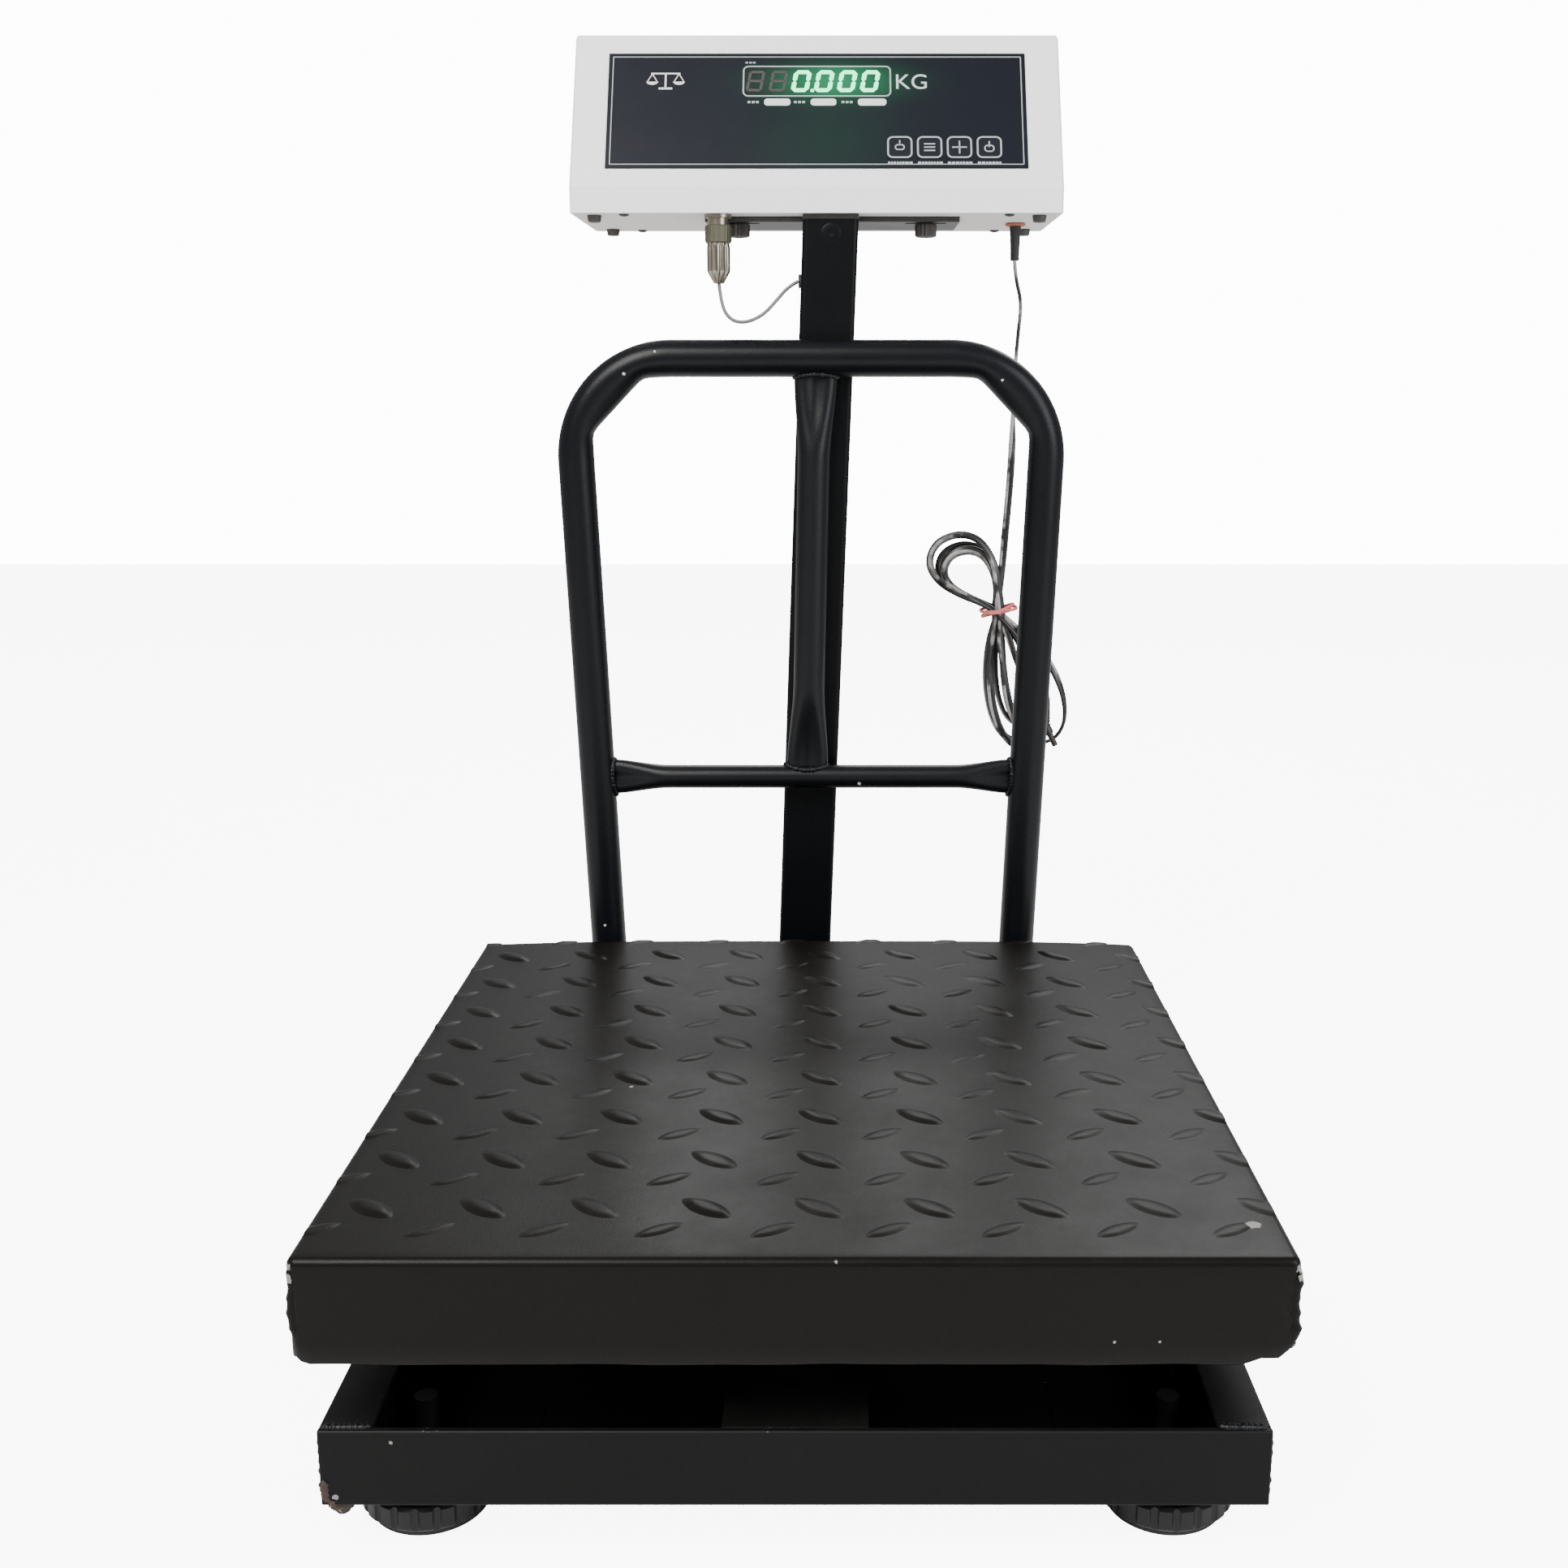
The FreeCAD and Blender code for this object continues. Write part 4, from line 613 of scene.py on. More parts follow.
def panel_film(name, colour, glow):
    """The printed film of the panel, with the display's green light spilling over it."""
    material, wires, shader = new_material(name)
    film = grouped(wires, FILM, {"Colour": opaque(colour), "Mottle": 0.12, "Grain": 0.0003,
                                 "Gloss": 0.34, "Gloss Spread": 0.08})
    near = halo_reach(wires, on_slope(0.010, WINDOW_UP, OVERLAY_FACE), 0.034, 0.011)
    below = halo_reach(wires, on_slope(0.006, 0.030, OVERLAY_FACE), 0.038, 0.034)
    mask = wires.sum("ADD", wires.sum("MULTIPLY", near, 1.0),
                     wires.sum("MULTIPLY", below, 0.13), clamp=True)
    wires.feed(shader.inputs["Base Color"],
               wires.blend(mask, film["Colour"], (0.003, 0.028, 0.013, 1)))
    wires.feed(shader.inputs["Roughness"], film["Roughness"])
    wires.feed(shader.inputs["Emission Color"],
               wires.blend(mask, (0, 0, 0, 1), (0.02, 0.85, 0.22, 1)))
    shader.inputs["Emission Strength"].default_value = glow
    shader.inputs["Specular IOR Level"].default_value = 0.22
    bump = wires.add("ShaderNodeBump", {"Height": film["Height"], "Distance": 0.00001})
    wires.feed(shader.inputs["Normal"], bump.outputs[0])
    return material


def glowing(name, colour, strength, base):
    """A lit display segment, its glow a little uneven in colour."""
    material, wires, shader = new_material(name)
    where = wires.add("ShaderNodeTexCoord").outputs["Object"]
    cloud = wires.noise(where, 900.0, 2.0).outputs[0]
    wires.feed(shader.inputs["Emission Color"],
               wires.blend(wires.between(cloud, 0.3, 0.7), opaque(colour),
                           (colour[0] + 0.12, colour[1], colour[2] + 0.10, 1)))
    shader.inputs["Emission Strength"].default_value = strength
    wires.feed(shader.inputs["Base Color"], wires.blend(cloud, opaque(base), opaque(colour)))
    shader.inputs["Roughness"].default_value = 0.4
    return material


def smoked_lens():
    """The display's window: a dark film that the lit digits fill with a green haze."""
    material, wires, shader = new_material("smoked_lens")
    where = wires.add("ShaderNodeTexCoord").outputs["Object"]
    cloud = wires.noise(where, 300.0, 3.0).outputs[0]
    wires.feed(shader.inputs["Base Color"],
               wires.blend(cloud, (0.006, 0.008, 0.009, 1), (0.012, 0.014, 0.016, 1)))
    wires.feed(shader.inputs["Roughness"], wires.between(cloud, 0.0, 1.0, 0.16, 0.26))
    middles = digit_middles()
    near = halo_reach(wires, on_slope((middles[2] + middles[5]) / 2, WINDOW_UP, OVERLAY_FACE),
                      0.029, 0.0125)
    wires.feed(shader.inputs["Emission Color"],
               wires.blend(near, (0, 0, 0, 1), (0.010, 0.85, 0.30, 1)))
    shader.inputs["Emission Strength"].default_value = 0.42
    shader.inputs["Specular IOR Level"].default_value = 0.4
    return material


def twin_flex():
    """The mains lead: two moulded cores side by side, one glossy black and one pale; the pale
    shows only in patches, partly the core's own colour and partly painted highlights.
    """
    material, wires, shader = new_material("twin_flex")
    parts = wires.add("ShaderNodeSeparateXYZ",
                      {"Vector": wires.add("ShaderNodeTexCoord").outputs["UV"]})
    where = wires.add("ShaderNodeTexCoord").outputs["Object"]
    cloud = wires.noise(where, 160.0, 4.0, 0.6).outputs[0]
    patches = wires.noise(where, 38.0, 3.0, 0.6).outputs[0]
    # Pale on one core, broken into patches: the core's own pale colour, and painted highlights
    # along the lead.
    side = wires.sum("MULTIPLY", wires.between(parts.outputs["X"], 0.56, 0.66),
                     wires.between(patches, 0.46, 0.58))
    pale = wires.blend(cloud, (0.16, 0.155, 0.15, 1), (0.52, 0.50, 0.48, 1))
    dark = wires.blend(cloud, (0.006, 0.006, 0.007, 1), (0.022, 0.020, 0.020, 1))
    wires.feed(shader.inputs["Base Color"], wires.blend(side, dark, pale))
    wires.feed(shader.inputs["Roughness"], wires.between(cloud, 0.0, 1.0, 0.24, 0.42))
    bump = wires.add("ShaderNodeBump", {"Height": cloud, "Distance": 0.00008})
    wires.feed(shader.inputs["Normal"], bump.outputs[0])
    return material


# ---------------------------------------------------------------- the sloping panel

def slope_matrix():
    return Matrix.Translation(SLOPE_LOW) @ Matrix.Rotation(SLOPE_TURN, 4, "X")


def on_slope(across, up, out):
    """A point on the panel: across from its middle, up from its lower edge, out of its face."""
    return slope_matrix() @ Vector((across, up, out))


def rounded_outline(wide, tall, radius, count=6):
    """Points around a rectangle with rounded corners, about the origin."""
    points = []
    for number, (sx, sy) in enumerate(((1, 1), (-1, 1), (-1, -1), (1, -1))):
        for step in range(count + 1):
            angle = math.pi / 2 * (number + step / count)
            points.append((sx * (wide / 2 - radius) + radius * math.cos(angle),
                           sy * (tall / 2 - radius) + radius * math.sin(angle)))
    return points


def line_frame(wide, tall, radius, line, across, up, low, high):
    """A thin raised frame on the panel, following a rounded rectangle."""
    outer = rounded_outline(wide, tall, radius)
    inner = rounded_outline(wide - 2 * line, tall - 2 * line, max(radius - line, 0.0001))
    rings = []
    for outline, out in ((outer, low), (outer, high), (inner, high), (inner, low)):
        rings.append([on_slope(across + x, up + y, out) for x, y in outline])
    return skin(rings, closed=True)


def prism(outline, across, up, low, high):
    """A flat shape on the panel with a small thickness."""
    rings = [[on_slope(across + x, up + y, out) for x, y in outline] for out in (low, high)]
    return skin(rings)


def bar(wide, tall, across, up, low, high, lean=0.0):
    outline = [(-wide / 2 - lean, -tall / 2), (wide / 2 - lean, -tall / 2),
               (wide / 2 + lean, tall / 2), (-wide / 2 + lean, tall / 2)]
    return prism(outline, across, up, low, high)


PRINT_LOW, PRINT_HIGH = OVERLAY_FACE - 0.0001, OVERLAY_FACE + 0.00012
WINDOW_UP = 0.0698
DIGIT_FIRST, DIGIT_PITCH = -0.0359, 0.0134
SEGMENTS = {"a": (0, 1, 0), "b": (1, 0.5, 90), "c": (1, -0.5, 90), "d": (0, -1, 0),
            "e": (-1, -0.5, 90), "f": (-1, 0.5, 90), "g": (0, 0, 0)}


def segment(across, up, lying, long, thick, lean, low, high):
    """One bar of a seven-segment digit, with pointed ends. lean moves its top sideways."""
    half, tip = long / 2, thick / 2
    outline = [(-half, 0), (-half + tip, -tip), (half - tip, -tip), (half, 0),
               (half - tip, tip), (-half + tip, tip)]
    if not lying:
        outline = [(-y + lean * x, x) for x, y in outline]
    return prism(outline, across, up, low, high)


def digit(across, letters, low, high, thick=0.0026):
    """The bars of one digit that letters names, leaning to the right."""
    half_wide, half_tall, lean = 0.0039, 0.0062, 0.16
    bars = []
    for letter in letters:
        side, level, turn = SEGMENTS[letter]
        long = half_wide * 2 + 0.0006 if turn == 0 else half_tall + 0.0004
        bars.append(segment(across + side * half_wide + lean * level * half_tall,
                            WINDOW_UP + level * half_tall, turn == 0, long, thick, lean,
                            low, high))
    return bars


def digit_middles():
    return [DIGIT_FIRST + DIGIT_PITCH * number for number in range(6)]


def display_digits():
    """Six digits behind the window: two dark, then 0.000 lit."""
    low, high = OVERLAY_FACE, OVERLAY_FACE + 0.00015
    middles = digit_middles()
    dark = [part for middle in middles[:2] for part in digit(middle, "abcdefg", low, high,
                                                             0.0017)]
    printed("digits_dark", dark, "base", DIGIT_DARK)
    lit = [part for middle in middles[2:] for part in digit(middle, "abcdef", low, high)]
    point = middles[2] + DIGIT_PITCH / 2 - 0.0003
    lit.append(prism(rounded_outline(0.0022, 0.0022, 0.0010), point, WINDOW_UP - 0.0064,
                     low, high))
    printed("digits_lit", lit, "base", DIGIT_LIT)


def unit_mark():
    """The unit beside the display, as on any scale."""
    text = bpy.data.curves.new("unit", "FONT")
    text.body = "KG"
    text.size = 0.0143
    text.align_x = "LEFT"
    text.extrude = 0.00006
    holder = bpy.data.objects.new("unit", text)
    bpy.context.collection.objects.link(holder)
    bpy.context.view_layer.update()
    graph = bpy.context.evaluated_depsgraph_get()
    mesh = bpy.data.meshes.new_from_object(holder.evaluated_get(graph))
    bpy.data.objects.remove(holder)
    mesh.transform(slope_matrix() @ Matrix.Translation((0.0452, WINDOW_UP - 0.0052,
                                                        OVERLAY_FACE + 0.00006)))
    mark = bpy.data.objects.new("unit_mark", mesh)
    bpy.context.collection.objects.link(mark)
    settle(mark, "base", PRINT_PALE)


def balance_sign():
    """A plain pictogram of a balance at the panel's upper left."""
    across, up = -0.0885, 0.0700
    parts = [bar(0.0010, 0.0100, across, up, PRINT_LOW, PRINT_HIGH),
             bar(0.0170, 0.0010, across, up + 0.0050, PRINT_LOW, PRINT_HIGH),
             bar(0.0080, 0.0012, across, up - 0.0052, PRINT_LOW, PRINT_HIGH)]
    for side in (-1, 1):
        middle = across + side * 0.0078
        for lean in (-0.0014, 0.0014):
            parts.append(bar(0.0006, 0.0052, middle + lean, up + 0.0022, PRINT_LOW, PRINT_HIGH,
                             lean=-lean))
        bowl = [(-0.0036, 0), (0.0036, 0), (0.0024, -0.0016), (0, -0.0022), (-0.0024, -0.0016)]
        parts.append(prism([(x, y) for x, y in reversed(bowl)], middle, up - 0.0006,
                           PRINT_LOW, PRINT_HIGH))
    printed("balance_sign", parts, "base", PRINT_WHITE)


def panel_print():
    """Lines, frame, label strips and small marks printed on the film."""
    middle = 0.050
    lines = [line_frame(0.2395, 0.0735, 0.0006, 0.0006, 0, middle, PRINT_LOW, PRINT_HIGH),
             line_frame(0.0868, 0.0212, 0.0034, 0.0009, 0, WINDOW_UP, PRINT_LOW, PRINT_HIGH)]
    printed("panel_lines", lines, "base", PRINT_GREY)
    strips = []
    for left, right in ((-0.0307, -0.0154), (-0.0036, 0.0113), (0.0239, 0.0405)):
        strips.append(prism(rounded_outline(right - left, 0.0047, 0.0019), (left + right) / 2,
                            WINDOW_UP - 0.0143, PRINT_LOW, PRINT_HIGH))
    printed("label_strips", strips, "base", PRINT_WHITE)
    draw = random.Random(4)
    marks = []
    for left in (-0.0395, -0.0125, 0.0152):
        for number in range(3):
            marks.append(bar(0.0017, 0.0015, left + number * 0.0024, WINDOW_UP - 0.0143,
                             PRINT_LOW, PRINT_HIGH))
    for number in range(3):
        marks.append(bar(0.0015, 0.0011, -0.0412 + number * 0.0022, WINDOW_UP + 0.0128,
                         PRINT_LOW, PRINT_HIGH))
    printed("small_marks", marks, "base", PRINT_GREY)
    dashes = []
    for key in range(4):
        start = KEY_FIRST + key * KEY_PITCH - 0.0068
        reach = 0.0
        while reach < 0.0130:
            wide = draw.uniform(0.0009, 0.0020)
            dashes.append(bar(wide, 0.0017, start + reach + wide / 2, KEY_UP - 0.0104,
                              PRINT_LOW, PRINT_HIGH))
            reach += wide + 0.0005
    printed("key_dashes", dashes, "base", PRINT_PALE)


KEY_FIRST, KEY_PITCH, KEY_UP, KEY_FACE = 0.048, 0.01725, 0.0248, 0.0009


def key_marks(number):
    """The outline and the plain sign on one key."""
    low, high = KEY_FACE - 0.0001, KEY_FACE + 0.00012
    across = KEY_FIRST + (number - 1) * KEY_PITCH
    parts = [line_frame(0.0146, 0.0146, 0.0034, 0.0010, across, KEY_UP, low, high)]
    if number == 1:
        parts.append(line_frame(0.0058, 0.0040, 0.0019, 0.0008, across, KEY_UP, low, high))
        parts.append(bar(0.0008, 0.0022, across, KEY_UP + 0.0036, low, high))
    elif number == 2:
        parts += [bar(0.0064, 0.0009, across, KEY_UP + shift, low, high)
                  for shift in (-0.0022, 0.0, 0.0022)]
    elif number == 3:
        parts += [bar(0.0086, 0.0009, across, KEY_UP, low, high),
                  bar(0.0009, 0.0086, across, KEY_UP, low, high)]
    else:
        parts.append(line_frame(0.0060, 0.0048, 0.0022, 0.0008, across, KEY_UP - 0.0008,
                                low, high))
        parts.append(bar(0.0009, 0.0040, across, KEY_UP + 0.0020, low, high))
    printed(f"key_marks_{number}", parts, f"key_{number}",
           PRINT_GREY)


# ---------------------------------------------------------------- cables

CELL_CABLE = (
    (-0.00555, 0.17015, 0.531), (-0.0115, 0.1698, 0.528), (-0.0185, 0.1691, 0.520),
    (-0.0265, 0.1679, 0.5115), (-0.037, 0.1663, 0.507), (-0.0454, 0.165, 0.5085),
    (-0.0508, 0.1642, 0.5165), (-0.052, 0.164, 0.5294),
)
LEAD_HANGING = (
    (0.1263, 0.216, 0.546), (0.1272, 0.216, 0.535), (0.1314, 0.2164, 0.521),
    (0.1292, 0.217, 0.500), (0.1276, 0.2174, 0.468), (0.1274, 0.217, 0.425),
    (0.1246, 0.2165, 0.386), (0.1222, 0.216, 0.352),
)
LEAD_TAIL = (
    (0.1225, 0.215, 0.327), (0.128, 0.212, 0.313), (0.1326, 0.209, 0.298),
    (0.1395, 0.2074, 0.282), (0.1479, 0.2069, 0.2655),
)
TIE = Vector((0.120, 0.216, 0.331))
LOWER_LOBES = (
    ((117.5, 314), (115.5, 297), (116.3, 280), (119.3, 264), (124.8, 250.5), (133.5, 242.3),
     (143.5, 242), (151, 249), (153.5, 260.5), (151.5, 277), (144.5, 297), (133.5, 315)),
    ((122, 315), (124, 298), (126.5, 280), (130.5, 264.5), (136.8, 252), (146, 244.5),
     (156.5, 245.5), (163.5, 253.5), (165.5, 265), (162.5, 281), (153, 300), (136, 317)),
    ((115, 314), (112.8, 297), (113.4, 281), (116.4, 266), (121.8, 253.5), (130, 245.8),
     (139.5, 245.5), (146.8, 252), (149.5, 263), (147.5, 279), (140.5, 299), (131.5, 316)),
    ((123.5, 315), (124.5, 299), (126, 283), (128.5, 269), (133.3, 258), (141, 252),
     (149, 253.5), (154, 261), (154, 272), (150.5, 287), (143.5, 303), (133, 318)),
    ((120, 315), (119.2, 300), (120.2, 285), (122.8, 271.5), (127.7, 260.5), (135.5, 254.5),
     (143.5, 256), (149, 263.5), (149.5, 275), (146, 290), (139, 305), (130.5, 318)),
)
UPPER_LOBE = ((110, 336), (97, 341), (82, 349), (74, 361), (79, 375), (94, 381), (108, 377),
              (117.5, 362), (120, 346))
UPPER_SCALES = (1.00, 0.98, 0.80, 0.85, 0.76)
DEPTHS = (-5.2, -2.6, 0.0, 2.7, 5.3)
LEAD_WIDE, LEAD_THICK = 0.0048, 0.0024


def nurbs_line(name, points, steps):
    """An open spline with the points as its control points, and the points along it."""
    curve = bpy.data.curves.new(name, "CURVE")
    curve.dimensions = "3D"
    curve.resolution_u = steps
    spline = curve.splines.new("NURBS")
    spline.points.add(len(points) - 1)
    for knot, point in zip(spline.points, points):
        knot.co = (*point, 1)
    spline.order_u = 3
    spline.use_endpoint_u = True
    holder = bpy.data.objects.new(name, curve)
    bpy.context.collection.objects.link(holder)
    bpy.context.view_layer.update()
    graph = bpy.context.evaluated_depsgraph_get()
    line = bpy.data.meshes.new_from_object(holder.evaluated_get(graph))
    return holder, [vertex.co.copy() for vertex in line.vertices]


def hank_turns():
    """The lead's turns: each goes down round the lower lobe, through the tie, round the upper
    one and back through the tie. They differ in size and lie side by side."""
    points = []
    for number, (lobe, upper, depth) in enumerate(zip(LOWER_LOBES, UPPER_SCALES, DEPTHS)):
        stations = [(x, z, 1.0) for x, z in lobe] + [(120 + depth * 0.4, 331, 1.0)]
        stations += [(x, z, upper) for x, z in UPPER_LOBE] + [(120 - depth * 0.5, 331, 1.0)]
        for place, (x, z, scale) in enumerate(stations):
            spot = Vector((x / 1000, 0, z / 1000))
            far = Vector((spot.x - TIE.x, 0, spot.z - TIE.z)) * scale
            open_out = smooth_step(0.004, 0.030, far.length)
            side = depth / 1000 * (0.62 + 0.38 * open_out)
            side += 0.0010 * math.sin(place * 1.1 + number * 2.1)
            points.append((TIE.x + far.x, TIE.y + side, TIE.z + far.z))
    return points[:-1]


def flex_section(count=7):
    """The outline of two cores side by side."""
    radius = LEAD_THICK / 2
    outline = []
    for sign in (1, -1):
        for step in range(count):
            angle = math.radians(-105 + 210 * step / (count - 1)) + (0 if sign > 0 else math.pi)
            x = sign * radius + radius * math.cos(angle)
            outline.append((x, radius * math.sin(angle)))
    return outline


def power_lead():
    """The mains lead, hanging from the indicator and tied in a figure of eight."""
    route = list(LEAD_HANGING) + hank_turns() + list(LEAD_TAIL)
    holder, path = nurbs_line("lead_route", route, 6)
    bpy.data.objects.remove(holder)
    ways, sides = transported(path)
    outline = flex_section()
    rings = []
    far = 0.0
    for number, (spot, way, side) in enumerate(zip(path, ways, sides)):
        if number:
            far += (spot - path[number - 1]).length
        other = way.cross(side)
        edge_on = -1.45 * (1 - smooth_step(0.085, 0.125, far))
        wander = smooth_step(0.17, 0.24, far)
        twist = wander * (0.9 * math.sin(far * 21) + 0.5 * math.sin(far * 47 + 1)) + edge_on
        flat = way.cross(Vector((0, 1, 0)))
        turn = math.atan2(flat.dot(other), flat.dot(side)) + twist
        wide = side * math.cos(turn) + other * math.sin(turn)
        thin = way.cross(wide)
        rings.append([spot + wide * x + thin * y for x, y in outline])
    bm = skin(rings)
    layer = bm.loops.layers.uv.new("lead")
    count = len(outline)
    bm.verts.ensure_lookup_table()
    for face in bm.faces:
        for corner in face.loops:
            row, column = divmod(corner.vert.index, count)
            corner[layer].uv = (0.5 - outline[column][0] / LEAD_WIDE, row / len(rings))
    lead = add_mesh("power_lead", bm, sharp=80)
    settle(lead, "base", twin_flex(), ("power_cord", "power_cord_hank"))
    plug = power_plug(path[-1], (path[-1] - path[-3]).normalized())
    pin = power_pin(path[-1], (path[-1] - path[-3]).normalized())
    band = rubber_band()
    inlet_sleeve()


def power_plug(spot, way):
    """The lead's slim moulded plug, with a ribbed grip."""
    grip = [(0.0001, 0.0), (0.0026, 0.0), (0.0030, 0.0008)]
    for rib in range(5):
        start = 0.0016 + rib * 0.0019
        grip += [(0.0031, start), (0.0031, start + 0.0011), (0.0027, start + 0.0013),
                 (0.0027, start + 0.0017)]
    grip += [(0.0030, 0.0118), (0.0029, 0.0146), (0.0025, 0.0152), (0.0001, 0.0152)]
    plug = add_mesh("power_plug_grip", turned(grip, spot, way, count=28))
    return settle(plug, "base", PLUG_PLASTIC, ("power_plug",))


def power_pin(spot, way):
    """The plug's round metal barrel."""
    pin = [(0.0001, 0.0150), (0.0019, 0.0150), (0.0019, 0.0230), (0.0015, 0.0236),
           (0.0001, 0.0236)]
    barrel = add_mesh("power_plug_pin", turned(pin, spot, way, count=28))
    return settle(barrel, "base", DARK_PIN)


def rubber_band():
    """A red rubber band wound three times round the waist of the hank."""
    steps = 40
    loops = []
    for number, (tilt, lean, reach) in enumerate(((-0.46, 0.22, 0.0088), (-0.66, 0.40, 0.0093),
                                                  (-0.34, -0.12, 0.0098))):
        centre = TIE + Vector((0.0004 * number, 0, 0.0007 * (number - 1)))
        normal = Vector((tilt + 0.3, lean * 0.3, 1)).normalized()
        side = normal.orthogonal().normalized()
        other = normal.cross(side)
        line = []
        for step in range(steps):
            angle = 2 * math.pi * step / steps
            squash = 1 + 0.22 * math.cos(2 * angle + number)
            line.append(centre + (side * math.cos(angle) + other * math.sin(angle)) * reach
                        * squash + normal * 0.0008 * math.sin(angle + number))
        rings = []
        for step, spot in enumerate(line):
            way = (line[(step + 1) % steps] - line[step - 1]).normalized()
            out = (spot - centre - way * (spot - centre).dot(way)).normalized()
            rings.append([spot + out * (0.0004 * math.cos(a)) + way.cross(out)
                          * (0.0010 * math.sin(a))
                          for a in (2 * math.pi * i / 10 for i in range(10))])
        loops.append(skin(rings, closed=True))
    band = joined("rubber_band", loops, sharp=80)
    return settle(band, "base", RED_BAND, ("hank_tie",))


def inlet_sleeve():
    """The lead's grommet: a red-brown collar and a dark tapered sleeve."""
    low, high = (Vector(corner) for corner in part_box("power_grommet"))
    spot = Vector(((low.x + high.x) / 2, (low.y + high.y) / 2, low.z))
    top = high.z - low.z
    sleeve = [(0.0001, 0.0), (0.0025, 0.0), (0.0027, 0.0004), (0.0028, 0.0060),
              (0.0031, 0.0140), (0.0035, 0.0196), (0.0036, 0.0206), (0.0001, 0.0206)]
    collar = [(0.0001, 0.0202), (0.0056, 0.0202), (0.0062, 0.0208), (0.0062, 0.0216),
              (0.0056, 0.0220), (0.0040, 0.0221), (0.0040, top), (0.0001, top)]
    collar_piece = add_mesh("inlet_collar", turned(collar, spot, count=36))
    settle(collar_piece, "base", RED_GROMMET, ("power_grommet",))
    piece = add_mesh("inlet_sleeve", turned(sleeve, spot, count=32))
    return settle(piece, "base", RUBBER)


def cell_cable():
    """The thin grey cable between the column and the round connector."""
    holder, path = nurbs_line("cell_cable", CELL_CABLE, 10)
    holder.data.bevel_depth = 0.0011
    holder.data.bevel_resolution = 4
    holder.data.use_fill_caps = True
    settle(holder, "base", CABLE_GREY, ("load_cell_cable_loop",))
    plug = cell_plug()


def cell_plug():
    """The round connector: an olive coupling ring, a fluted nickel barrel and a taper."""
    low, high = (Vector(corner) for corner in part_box("load_cell_plug"))
    spot = Vector(((low.x + high.x) / 2, (low.y + high.y) / 2, low.z))
    barrel = [(0.0001, 0.0), (0.0030, 0.0), (0.0034, 0.0006), (0.0060, 0.0052),
              (0.0066, 0.0064), (0.0068, 0.0074), (0.0068, 0.0200), (0.0066, 0.0212),
              (0.0064, 0.0226), (0.0001, 0.0226)]
    piece = add_mesh("cell_plug_barrel", turned(barrel, spot, count=96, flutes=12, depth=0.0010,
                                                 fluted=(3, 4, 5, 6, 7)))
    settle(piece, "base", NICKEL, ("load_cell_plug",))
    ring = [(0.0001, 0.0225), (0.0070, 0.0225), (0.0076, 0.0231), (0.0078, 0.0240),
            (0.0078, 0.0310), (0.0076, 0.0320), (0.0070, 0.0326), (0.0001, 0.0326)]
    collar = add_mesh("cell_plug_ring", turned(ring, spot, count=96, flutes=24, depth=0.0004,
                                                fluted=(3, 4)))
    settle(collar, "base", OLIVE)
    return piece


# ---------------------------------------------------------------- weighing pan

def pan_outline(inset, corner, count=5, steps=44):
    """Points around the pan's square, moved in by inset, denser at the corners."""
    half = PAN_HALF - inset
    round_by = max(corner - inset, 0.0003)
    points = []
    for number, (sx, sy) in enumerate(((1, 1), (-1, 1), (-1, -1), (1, -1))):
        centre = Vector((sx * (half - round_by), sy * (half - round_by)))
        for step in range(count + 1):
            angle = math.pi / 2 * (number + step / count)
            points.append(centre + Vector((math.cos(angle), math.sin(angle))) * round_by)
        after = ((-1, 1), (-1, -1), (1, -1), (1, 1))[number]
        start = points[-1].copy()
        end_centre = Vector((after[0] * (half - round_by), after[1] * (half - round_by)))
        angle = math.pi / 2 * (number + 1)
        end = end_centre + Vector((math.cos(angle), math.sin(angle))) * round_by
        for step in range(1, steps):
            share = step / steps
            share = share - 0.10 * math.sin(2 * math.pi * share)
            points.append(start.lerp(end, share))
    return points


def pan_hem(x, y):
    """How far the skirt's lower edge is cut up near the corners, and its small unevenness."""
    corner_gap = PAN_HALF - min(abs(x), abs(y))
    snip = max(0.0, 0.0055 - corner_gap) * 0.9
    if x > 0 and y < 0:
        snip = max(snip, 0.0030 * smooth_step(0.021, 0.016, corner_gap),
                   max(0.0, 0.0105 - corner_gap) * 0.95)
    ripple = 0.0006 * noise.noise(Vector((x * 30, y * 30, 3)))
    return snip + ripple + 0.0004


def crown(x, y):
    """The pan's top bows up a little towards the middle of its back edge."""
    share = smooth_step(-0.05, PAN_HALF, y)
    return 0.0026 * share * (1 - min(abs(x) / PAN_HALF, 1) ** 4)


